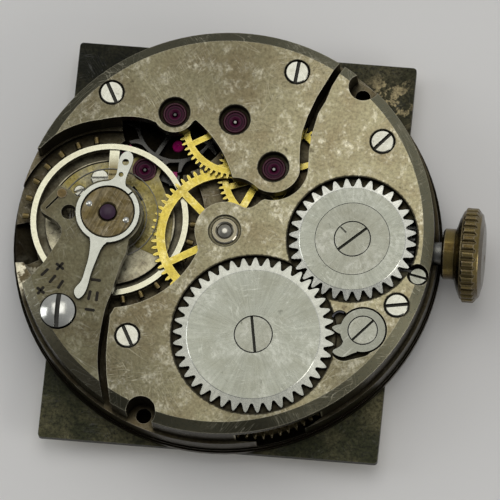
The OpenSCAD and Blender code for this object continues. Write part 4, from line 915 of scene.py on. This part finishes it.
class StoneCoat:
    """The material of a polished jewel, with the places and shades of its rings of painted shade from
    the middle out.
    """

    REFRACTION = 1.76
    EDGE_MM = 0.03
    CORNER_MM = 0.3
    CORNER = (0.35, 0.9)
    CLOUDS_PER_MM = 1.5
    CLOUDS_SHOW = 0.35
    RINGS = ((0.0, 0.1), (0.24, 0.15), (0.3, 0.7), (0.42, 1.0), (0.6, 0.9), (0.66, 0.25),
             (0.74, 0.3), (0.8, 1.0), (0.95, 0.8), (1.0, 0.2))

    def __init__(self, stone: Stone, discs: tuple[Disc, ...]) -> None:
        """Starts the material.

        Args:
            stone: The jewel's colours.
            discs: The jewels' places and radii, for the rings of painted shade in them.
        """
        self.stone = stone
        self.discs = discs
        self.graph = Graph(stone.name)

    def ring_shading(self) -> Socket:
        """The painted shade of each ring of the jewels, from the hole outwards.

        Returns:
            The shade.
        """
        graph = self.graph
        share = None
        for disc in self.discs:
            part = graph.math("DIVIDE", graph.flat_distance(disc.x, disc.y), disc.radius)
            share = part if share is None else graph.math("MINIMUM", share, part)
        return graph.ramp(share, self.RINGS)

    def material(self) -> bpy.types.Material:
        """Puts the shader together.

        Returns:
            The material.
        """
        graph, stone = self.graph, self.stone
        cloudy = graph.math("MULTIPLY", graph.clouds(self.CLOUDS_PER_MM, 2.0), self.CLOUDS_SHOW)
        base = graph.mix(cloudy, stone.body, stone.deep)
        # Painted shade: the jewels' corners take the deep colour.
        corner = graph.span(graph.openness(self.CORNER_MM), *self.CORNER, FALLING)
        base = graph.mix(corner, base, stone.deep)
        if self.discs:
            base = graph.vector("MULTIPLY", base, self.ring_shading())
        shader = graph.add("BsdfPrincipled", Base_Color=base, Roughness=stone.roughness,
                           IOR=self.REFRACTION, Normal=graph.rounded(self.EDGE_MM))
        shader.inputs["Specular IOR Level"].default_value = stone.specular
        return graph.output(shader)


class Finisher:
    """Makes each finish's material once for each centre and height that its marks are set from."""

    def __init__(self) -> None:
        """Starts with no materials."""
        self.made: dict[tuple[str, int, int, int], bpy.types.Material] = {}

    def metal(self, finish: Finish, centre: Pair = (0.0, 0.0), top: float = 0.0,
              seats: tuple[Disc, ...] = ()) -> bpy.types.Material:
        """The material of a metal finish.

        Args:
            finish: The finish.
            centre: The centre that turned or sunray marks run round, in millimetres.
            top: The height that sunk faces are measured down from, in millimetres.
            seats: The round holes that dark outlines of dirt and painted shadow ring.

        Returns:
            The material.
        """
        round_work = finish.grain in (Grain.SUNRAY, Grain.TURNED)
        spot = (round(centre[0] * 10), round(centre[1] * 10)) if round_work else (0, 0)
        key = (finish.name, *spot, round(top * 100) if finish.sunk_to else 0)
        if key not in self.made:
            self.made[key] = MetalCoat(finish, centre, top, seats).material()
        return self.made[key]

    def stone(self, stone: Stone, discs: tuple[Disc, ...] = ()) -> bpy.types.Material:
        """The material of a jewel.

        Args:
            stone: The jewel's colours.
            discs: The jewels that have rings of painted shade in them.

        Returns:
            The material.
        """
        first = discs[0] if discs else Disc(0.0, 0.0, 0.0)
        key = (stone.name, round(first.x * 10), round(first.y * 10), len(discs))
        if key not in self.made:
            self.made[key] = StoneCoat(stone, discs).material()
        return self.made[key]


@dataclass
class Workshop:
    """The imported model's nodes, and the ways that the sub-assemblies dress them and add to them."""

    nodes: dict[str, bpy.types.Object]
    finisher: Finisher = field(default_factory=Finisher)
    seats: tuple[Disc, ...] = ()

    def middle(self, node: str) -> Pair:
        """The middle of a node's box seen from above, in millimetres."""
        low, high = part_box(node)
        return ((low.x + high.x) / 2 / MM, (low.y + high.y) / 2 / MM)

    def discs(self, node: str, room: float = 0.0) -> tuple[Disc, ...]:
        """The separate round solids of a node, seen from above.

        Args:
            node: The node's name.
            room: What is added to each radius, in millimetres.

        Returns:
            The solids' places and radii.
        """
        copy = bmesh.new()
        copy.from_mesh(self.nodes[node].data)
        bmesh.ops.remove_doubles(copy, verts=copy.verts, dist=WELD_MM * MM)
        left = set(copy.verts)
        found = []
        while left:
            reached = [left.pop()]
            for vert in reached:
                near = {edge.other_vert(vert) for edge in vert.link_edges} & left
                left -= near
                reached.extend(near)
            xs = [vert.co.x / MM for vert in reached]
            ys = [vert.co.y / MM for vert in reached]
            radius = (max(xs) - min(xs)) / 2 + room
            top = max(vert.co.z for vert in reached) / MM
            found.append(Disc((min(xs) + max(xs)) / 2, (min(ys) + max(ys)) / 2, radius, top))
        copy.free()
        return tuple(sorted(found, key=lambda disc: (disc.x, disc.y)))

    def dress(self, finish: Finish | Stone, *names: str, about: str = "") -> None:
        """Gives nodes a finish.

        Args:
            finish: The finish or stone.
            names: The nodes' names.
            about: The node that round marks run round, if it isn't each node itself.
        """
        for name in names:
            if isinstance(finish, Stone):
                material = self.finisher.stone(finish, self.discs(name) if finish.ring_shaded else ())
            else:
                seats = self.seats if finish.outlined else ()
                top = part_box(name)[1].z / MM
                material = self.finisher.metal(finish, self.middle(about or name), top, seats)
            mesh = self.nodes[name].data
            mesh.materials.clear()
            mesh.materials.append(material)
            LOG.info("dressed %s in %s", name, finish.name)

    def add(self, name: str, mesh: bmesh.types.BMesh, finish: Finish | Stone, body: str,
            slot: str) -> None:
        """Adds a piece that rides on a body.

        Args:
            name: The piece's name.
            mesh: Its mesh, in millimetres.
            finish: Its finish.
            body: The body that it rides on.
            slot: Not used.
        """
        bmesh.ops.scale(mesh, vec=(MM, MM, MM), verts=mesh.verts)
        bmesh.ops.recalc_face_normals(mesh, faces=mesh.faces)
        data = bpy.data.meshes.new(name)
        mesh.to_mesh(data)
        mesh.free()
        piece = bpy.data.objects.new(name, data)
        bpy.context.scene.collection.objects.link(piece)
        finisher = self.finisher
        made = finisher.stone(finish) if isinstance(finish, Stone) else finisher.metal(finish)
        data.materials.append(made)
        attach(piece, body)
        LOG.info("made %s", name)


def polar(radius: float, degrees: float) -> Vector:
    """A vector in the XY plane from its length and its angle from +X, in degrees."""
    angle = math.radians(degrees)
    return Vector((radius * math.cos(angle), radius * math.sin(angle), 0.0))


@dataclass(frozen=True)
class Mark:
    """The size of a thin straight mark, in millimetres.

    Attributes:
        width: Its width.
        foot: The height of the face that it lies on.
        thickness: How far it stands out, which is below zero where that face looks down.
        chamfer: How much narrower each side is at the top, as a share of the width.
        point: How far each end comes to a point, where 1 is a right angle.
    """

    width: float
    foot: float
    thickness: float
    chamfer: float = 0.18
    point: float = 0.6

    def draw(self, mesh: bmesh.types.BMesh, start: Vector, end: Vector) -> None:
        """Adds the mark to a mesh, with chamfered edges and blunt points.

        Args:
            mesh: The mesh.
            start: One end, in millimetres.
            end: The other end.
        """
        along = (end - start).normalized()
        side = Vector((-along.y, along.x, 0.0))
        middle, top = self.foot + self.thickness / 2, self.foot + self.thickness
        rings = []
        for level, inset in ((self.foot, 0.0), (middle, 0.0), (top, self.width * self.chamfer)):
            half = side * (self.width / 2 - inset)
            tip = along * (self.width / 2 - inset) * self.point
            corners = (start - half, start - tip, start + half, end + half, end + tip, end - half)
            rings.append([mesh.verts.new((corner.x, corner.y, level)) for corner in corners])
        for low, high in zip(rings, rings[1:]):
            for i in range(len(low)):
                mesh.faces.new((low[i - 1], low[i], high[i], high[i - 1]))
        mesh.faces.new(rings[-1])
        mesh.faces.new(list(reversed(rings[0])))


def lathe(mesh: bmesh.types.BMesh, disc: Disc, profile: tuple[Pair, ...], overlap: float,
          steps: int = 72) -> None:
    """Adds a ring turned from a profile to a mesh.

    Args:
        mesh: The mesh.
        disc: The round solid that the ring fits round.
        profile: The profile's points, as the distance out from the solid and the height.
        overlap: How far the ring's inside reaches over the solid.
        steps: The number of points round the ring.
    """
    centre = Vector((disc.x, disc.y, disc.top))
    inside = disc.radius - overlap
    rings = []
    for step in range(steps):
        ring = []
        for out, height in profile:
            way = polar(inside + out, 360.0 * step / steps)
            ring.append(mesh.verts.new(centre + way + Vector((0.0, 0.0, height))))
        rings.append(ring)
    for step, ring in enumerate(rings):
        before = rings[step - 1]
        for i in range(len(profile)):
            mesh.faces.new((before[i - 1], before[i], ring[i], ring[i - 1]))


class Work:
    """A sub-assembly: how its nodes are dressed, and which pieces the scene adds to it."""

    def dress(self, shop: Workshop) -> None:
        """Gives the sub-assembly's nodes their finishes."""
        raise NotImplementedError

    def build(self, shop: Workshop) -> None:
        """Adds the sub-assembly's own pieces, which are none unless a class says otherwise."""


@dataclass
class PlateWork(Work):
    """The main plate, the bridges and their screws."""

    bright_screws: tuple[str, ...] = ("bridge_screws", "pallet_cock_screws")
    screw_room: float = 0.05
    sink_room: float = 0.29
    wheel_room: float = 0.11
    collar_profile: tuple[Pair, ...] = (
        (0.0, 0.0), (0.0, 0.05), (0.03, 0.085), (0.08, 0.09), (0.13, 0.05), (0.14, 0.0))
    collar_overlap: float = 0.02
    low_ruby: Disc = Disc(x=-3.25, y=5.5, radius=0.34, top=0.65)
    low_ruby_profile: tuple[Pair, ...] = (
        (0.02, 0.0), (0.02, 0.1), (0.09, 0.12), (0.25, 0.13), (0.31, 0.09), (0.34, 0.0))

    def dress(self, shop: Workshop) -> None:
        """Finishes the plate, the bridges and what holds them.

        Args:
            shop: The workshop.
        """
        shop.seats = (*shop.discs("bridge_screws", self.screw_room),
                      *shop.discs("train_jewels", self.sink_room),
                      *shop.discs("ratchet_wheel", self.wheel_room),
                      *shop.discs("crown_wheel", self.wheel_room))
        shop.dress(PLATE, "main_plate", about="cap_jewel")
        shop.dress(NICKEL, "barrel_bridge", "train_bridge")
        shop.dress(COCK_NICKEL, "balance_cock")
        shop.dress(GILT, "pallet_cock")
        shop.dress(SCREW_STEEL, *self.bright_screws)
        shop.dress(CORE_STEEL, "setting_lever_screw")
        shop.dress(DOME_STEEL, "cock_screw")
        shop.dress(BUSH_STEEL, "centre_bush")
        shop.dress(RUBY, "train_jewels", "balance_jewels", "lower_jewels")

    def build(self, shop: Workshop) -> None:
        """Makes the collars round the upper jewels, and the ruby low in the escape wheel's room.

        Args:
            shop: The workshop.
        """
        collars = bmesh.new()
        for disc in shop.discs("train_jewels"):
            lathe(collars, disc, self.collar_profile, self.collar_overlap)
        shop.add("jewel_collars", collars, COLLAR, "plate", "ruby")
        jewel = bmesh.new()
        lathe(jewel, self.low_ruby, self.low_ruby_profile, self.low_ruby.radius)
        shop.add("low_ruby", jewel, BRIGHT_RUBY, "plate", "ruby")


@dataclass
class DialWork(Work):
    """The dial and the marks on its front, which the photograph doesn't show."""

    hour_mark: Mark = Mark(width=0.32, foot=-0.35, thickness=-0.012)
    hour_reach: Pair = (6.9, 8.85)
    minute_mark: Mark = Mark(width=0.07, foot=-0.35, thickness=-0.012)
    minute_reach: Pair = (8.5, 8.85)
    seconds_mark: Mark = Mark(width=0.06, foot=-0.27, thickness=-0.012)
    seconds_reach: Pair = (2.2, 2.6)
    seconds_room: float = 3.05

    def dress(self, shop: Workshop) -> None:
        """Finishes the dial and the screws that hold its feet."""
        shop.dress(DIAL_BACK, "dial")
        shop.dress(SCREW_STEEL, "dial_screws")

    def build(self, shop: Workshop) -> None:
        """Makes the plain strokes for hours, minutes and seconds on the dial's front.

        Args:
            shop: The workshop.
        """
        marks = bmesh.new()
        seconds = Vector((*shop.middle("fourth_pinion"), 0.0))
        for minute in range(60):
            mark, reach = self.minute_mark, self.minute_reach
            if minute % 5 == 0:
                mark, reach = self.hour_mark, self.hour_reach
            start, end = (polar(radius, 6.0 * minute) for radius in reach)
            if min((start - seconds).length, (end - seconds).length) > self.seconds_room:
                mark.draw(marks, start, end)
        for tick in range(12):
            start, end = (seconds + polar(radius, 30.0 * tick) for radius in self.seconds_reach)
            self.seconds_mark.draw(marks, start, end)
        shop.add("dial_marks", marks, INK, "plate", "dial_back")


class TrainWork(Work):
    """The barrel, the going train and the escapement."""

    def dress(self, shop: Workshop) -> None:
        """Finishes the wheels, pinions and pallets.

        Args:
            shop: The workshop.
        """
        shop.dress(BARREL_BRASS, "barrel", "barrel_cover")
        shop.dress(WHEEL_BRASS, "centre_wheel", "third_wheel", "fourth_wheel")
        shop.dress(PLAIN_STEEL, "barrel_arbor", "third_pinion", "fourth_pinion")
        shop.dress(PIVOT_STEEL, "centre_arbor", about="centre_bush")
        shop.dress(ESCAPE_STEEL, "escape_wheel", "escape_pinion", "pallet_fork")
        shop.dress(BLUED_STEEL, "mainspring")
        shop.dress(BRIGHT_RUBY, "pallet_stones")


@dataclass
class BalanceWork(Work):
    """The balance, its spring, the regulator and the marks of its scale on the cock."""

    mark: Mark = Mark(width=0.16, foot=3.3, thickness=0.012)
    scale_reach: Pair = (4.63, 5.13)
    scale_degrees: tuple[float, ...] = (-131.0, -124.0, -117.5, -97.0, -92.0)
    sign_arm: float = 0.25
    plus_places: tuple[Pair, ...] = ((4.06, -126.0), (5.8, -125.0))
    minus_places: tuple[Pair, ...] = ((3.95, -94.5), (5.7, -95.0))

    def dress(self, shop: Workshop) -> None:
        """Finishes the balance and the regulator.

        Args:
            shop: The workshop.
        """
        shop.dress(BALANCE_ALLOY, "balance_wheel")
        shop.dress(TIMING_BRASS, "timing_screws", "hairspring_stud")
        shop.dress(PLAIN_STEEL, "balance_staff", "roller")
        shop.dress(HAIRSPRING_STEEL, "hairspring")
        shop.dress(REGULATOR_STEEL, "regulator")
        shop.dress(BRONZE, "end_piece")
        shop.dress(DOME_STEEL, "end_piece_screws")
        shop.dress(CAP_RUBY, "cap_jewel")
        shop.dress(BRIGHT_RUBY, "impulse_jewel")

    def build(self, shop: Workshop) -> None:
        """Makes the scale beside the regulator's tail, with a plus and a minus at its ends.

        Args:
            shop: The workshop.
        """
        centre = Vector((*shop.middle("cap_jewel"), 0.0))
        marks = bmesh.new()
        for degrees in self.scale_degrees:
            start, end = (centre + polar(radius, degrees) for radius in self.scale_reach)
            self.mark.draw(marks, start, end)
        for radius, degrees in (*self.plus_places, *self.minus_places):
            place = centre + polar(radius, degrees)
            across = polar(self.sign_arm, degrees + 90)
            self.mark.draw(marks, place - across, place + across)
        for radius, degrees in self.plus_places:
            place = centre + polar(radius, degrees)
            along = polar(self.sign_arm, degrees)
            self.mark.draw(marks, place - along, place + along)
        shop.add("scale_marks", marks, INK, "plate", "nickel")


class WindingWork(Work):
    """The winding wheels, the click, the keyless work, the stem and the crown."""

    def dress(self, shop: Workshop) -> None:
        """Finishes the winding work.

        Args:
            shop: The workshop.
        """
        shop.dress(WINDING_STEEL, "ratchet_wheel", "crown_wheel")
        shop.dress(CORE_STEEL, "crown_wheel_core", "ratchet_screw", "crown_wheel_screw",
                   "click_screw")
        shop.dress(CLICK_STEEL, "click")
        shop.dress(BLUED_STEEL, "click_spring", "yoke_spring")
        shop.dress(PLAIN_STEEL, "winding_pinion", "sliding_pinion", "stem", "setting_lever", "yoke",
                   "setting_lever_spring", "cannon_pinion")
        shop.dress(WHEEL_BRASS, "setting_wheel", "minute_wheel", "hour_wheel")
        shop.dress(CROWN_METAL, "crown")


WARM: Tone = (1.0, 0.98, 0.94)
COOL: Tone = (0.95, 0.98, 1.0)


@dataclass(frozen=True)
class Lamp:
    """A square soft box that faces the movement.

    Attributes:
        name: Its name.
        direction: The direction from the movement to it.
        distance: Its distance, in millimetres.
        size: Its width, in millimetres.
        glow: How bright its front is, where 1 is the brightness of a white surface in the picture.
        tone: Its colour.
    """

    name: str
    direction: Triple
    distance: float
    size: float
    glow: float
    tone: Tone

    def place(self) -> None:
        """Adds the lamp to the scene."""
        data = bpy.data.lights.new(self.name, "AREA")
        data.shape = "SQUARE"
        data.size = self.size * MM
        data.energy = self.glow * math.pi * data.size ** 2
        data.color = self.tone
        lamp = bpy.data.objects.new(self.name, data)
        bpy.context.scene.collection.objects.link(lamp)
        way = Vector(self.direction).normalized()
        lamp.location = way * self.distance * MM
        lamp.rotation_euler = way.to_track_quat("Z", "Y").to_euler()


@dataclass
class Studio:
    """The floor, the lamps and the camera."""

    camera_target: Triple = (1.51, -1.03, 3.3)
    camera_away: Triple = (0.083, -0.283, 0.956)
    camera_right: Triple = (0.996, 0.087, -0.061)
    camera_distance: float = 720.0
    camera_lens: float = 933.0
    camera_sensor: float = 36.0
    camera_clip: Pair = (10.0, 10000.0)
    floor_size: float = 900.0
    floor_tone: Tone = (0.8, 0.79, 0.77)
    floor_shade: float = 0.96
    floor_clouds_per_mm: float = 0.02
    floor_roughness: float = 0.7
    world_tone: Tone = (0.82, 0.83, 0.85)
    world_strength: Pair = (0.18, 0.64)
    world_lean: Triple = (0.4, 0.85, 0.1)
    world_reach: float = 0.9
    lamps: tuple[Lamp, ...] = (
        Lamp("over", direction=(-0.05, 0.36, 0.93), distance=260.0, size=220.0, glow=1.05, tone=WARM),
        Lamp("left", direction=(-0.9, 0.1, 0.5), distance=230.0, size=110.0, glow=2.2, tone=COOL),
        Lamp("right", direction=(0.85, -0.35, 0.4), distance=230.0, size=110.0, glow=2.6, tone=WARM))

    def camera(self) -> None:
        """Places the camera at the photograph's angle."""
        away = Vector(self.camera_away).normalized()
        right = Vector(self.camera_right)
        right = (right - away * right.dot(away)).normalized()
        turn = Matrix((right, away.cross(right), away)).transposed().to_4x4()
        data = bpy.data.cameras.new("camera")
        data.lens = self.camera_lens
        data.sensor_width = self.camera_sensor
        data.clip_start, data.clip_end = (distance * MM for distance in self.camera_clip)
        camera = bpy.data.objects.new("camera", data)
        bpy.context.scene.collection.objects.link(camera)
        place = (Vector(self.camera_target) + away * self.camera_distance) * MM
        camera.matrix_world = Matrix.Translation(place) @ turn
        bpy.context.scene.camera = camera

    def floor(self) -> None:
        """Adds the pale floor under the lowest point of the movement."""
        low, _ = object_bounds()
        mesh = bmesh.new()
        bmesh.ops.create_grid(mesh, x_segments=1, y_segments=1, size=self.floor_size / 2 * MM)
        data = bpy.data.meshes.new("floor")
        mesh.to_mesh(data)
        mesh.free()
        floor = bpy.data.objects.new("floor", data)
        floor.location.z = low.z
        bpy.context.scene.collection.objects.link(floor)
        graph = Graph("floor")
        clouds = graph.clouds(self.floor_clouds_per_mm, 2.0)
        base = graph.mix(clouds, self.floor_tone, faded(self.floor_tone, self.floor_shade))
        shader = graph.add("BsdfPrincipled", Base_Color=base, Roughness=self.floor_roughness)
        data.materials.append(graph.output(shader))
        floor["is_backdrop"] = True

    def world(self) -> None:
        """Sets the world, which is brighter towards one side."""
        world = bpy.data.worlds.new("studio")
        bpy.context.scene.world = world
        world.use_nodes = True
        nodes, links = world.node_tree.nodes, world.node_tree.links
        background = nodes["Background"]
        background.inputs["Color"].default_value = (*self.world_tone, 1.0)
        lean = nodes.new("ShaderNodeVectorMath")
        lean.operation = "DOT_PRODUCT"
        lean.inputs[1].default_value = self.world_lean
        strength = nodes.new("ShaderNodeMapRange")
        ends = (-self.world_reach, self.world_reach, *self.world_strength)
        for index, number in enumerate(ends, start=1):
            strength.inputs[index].default_value = number
        links.new(nodes.new("ShaderNodeTexCoord").outputs["Generated"], lean.inputs[0])
        links.new(lean.outputs["Value"], strength.inputs[0])
        links.new(strength.outputs[0], background.inputs["Strength"])

    def build(self) -> None:
        """Makes the whole studio."""
        self.camera()
        self.floor()
        self.world()
        for lamp in self.lamps:
            lamp.place()
        bpy.context.scene.view_settings.view_transform = "Standard"
        LOG.info("placed the camera, the floor and %d lamps", len(self.lamps))


def main() -> None:
    """Loads the frame, dresses it, adds the scene's own pieces and builds the studio."""
    logging.basicConfig(level=logging.INFO, format="%(message)s")
    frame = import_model()
    shop = Workshop(frame["nodes"])
    for work in (PlateWork(), DialWork(), TrainWork(), BalanceWork(), WindingWork()):
        work.dress(shop)
        work.build(shop)
    Studio().build()


if __name__ == "__main__":
    main()
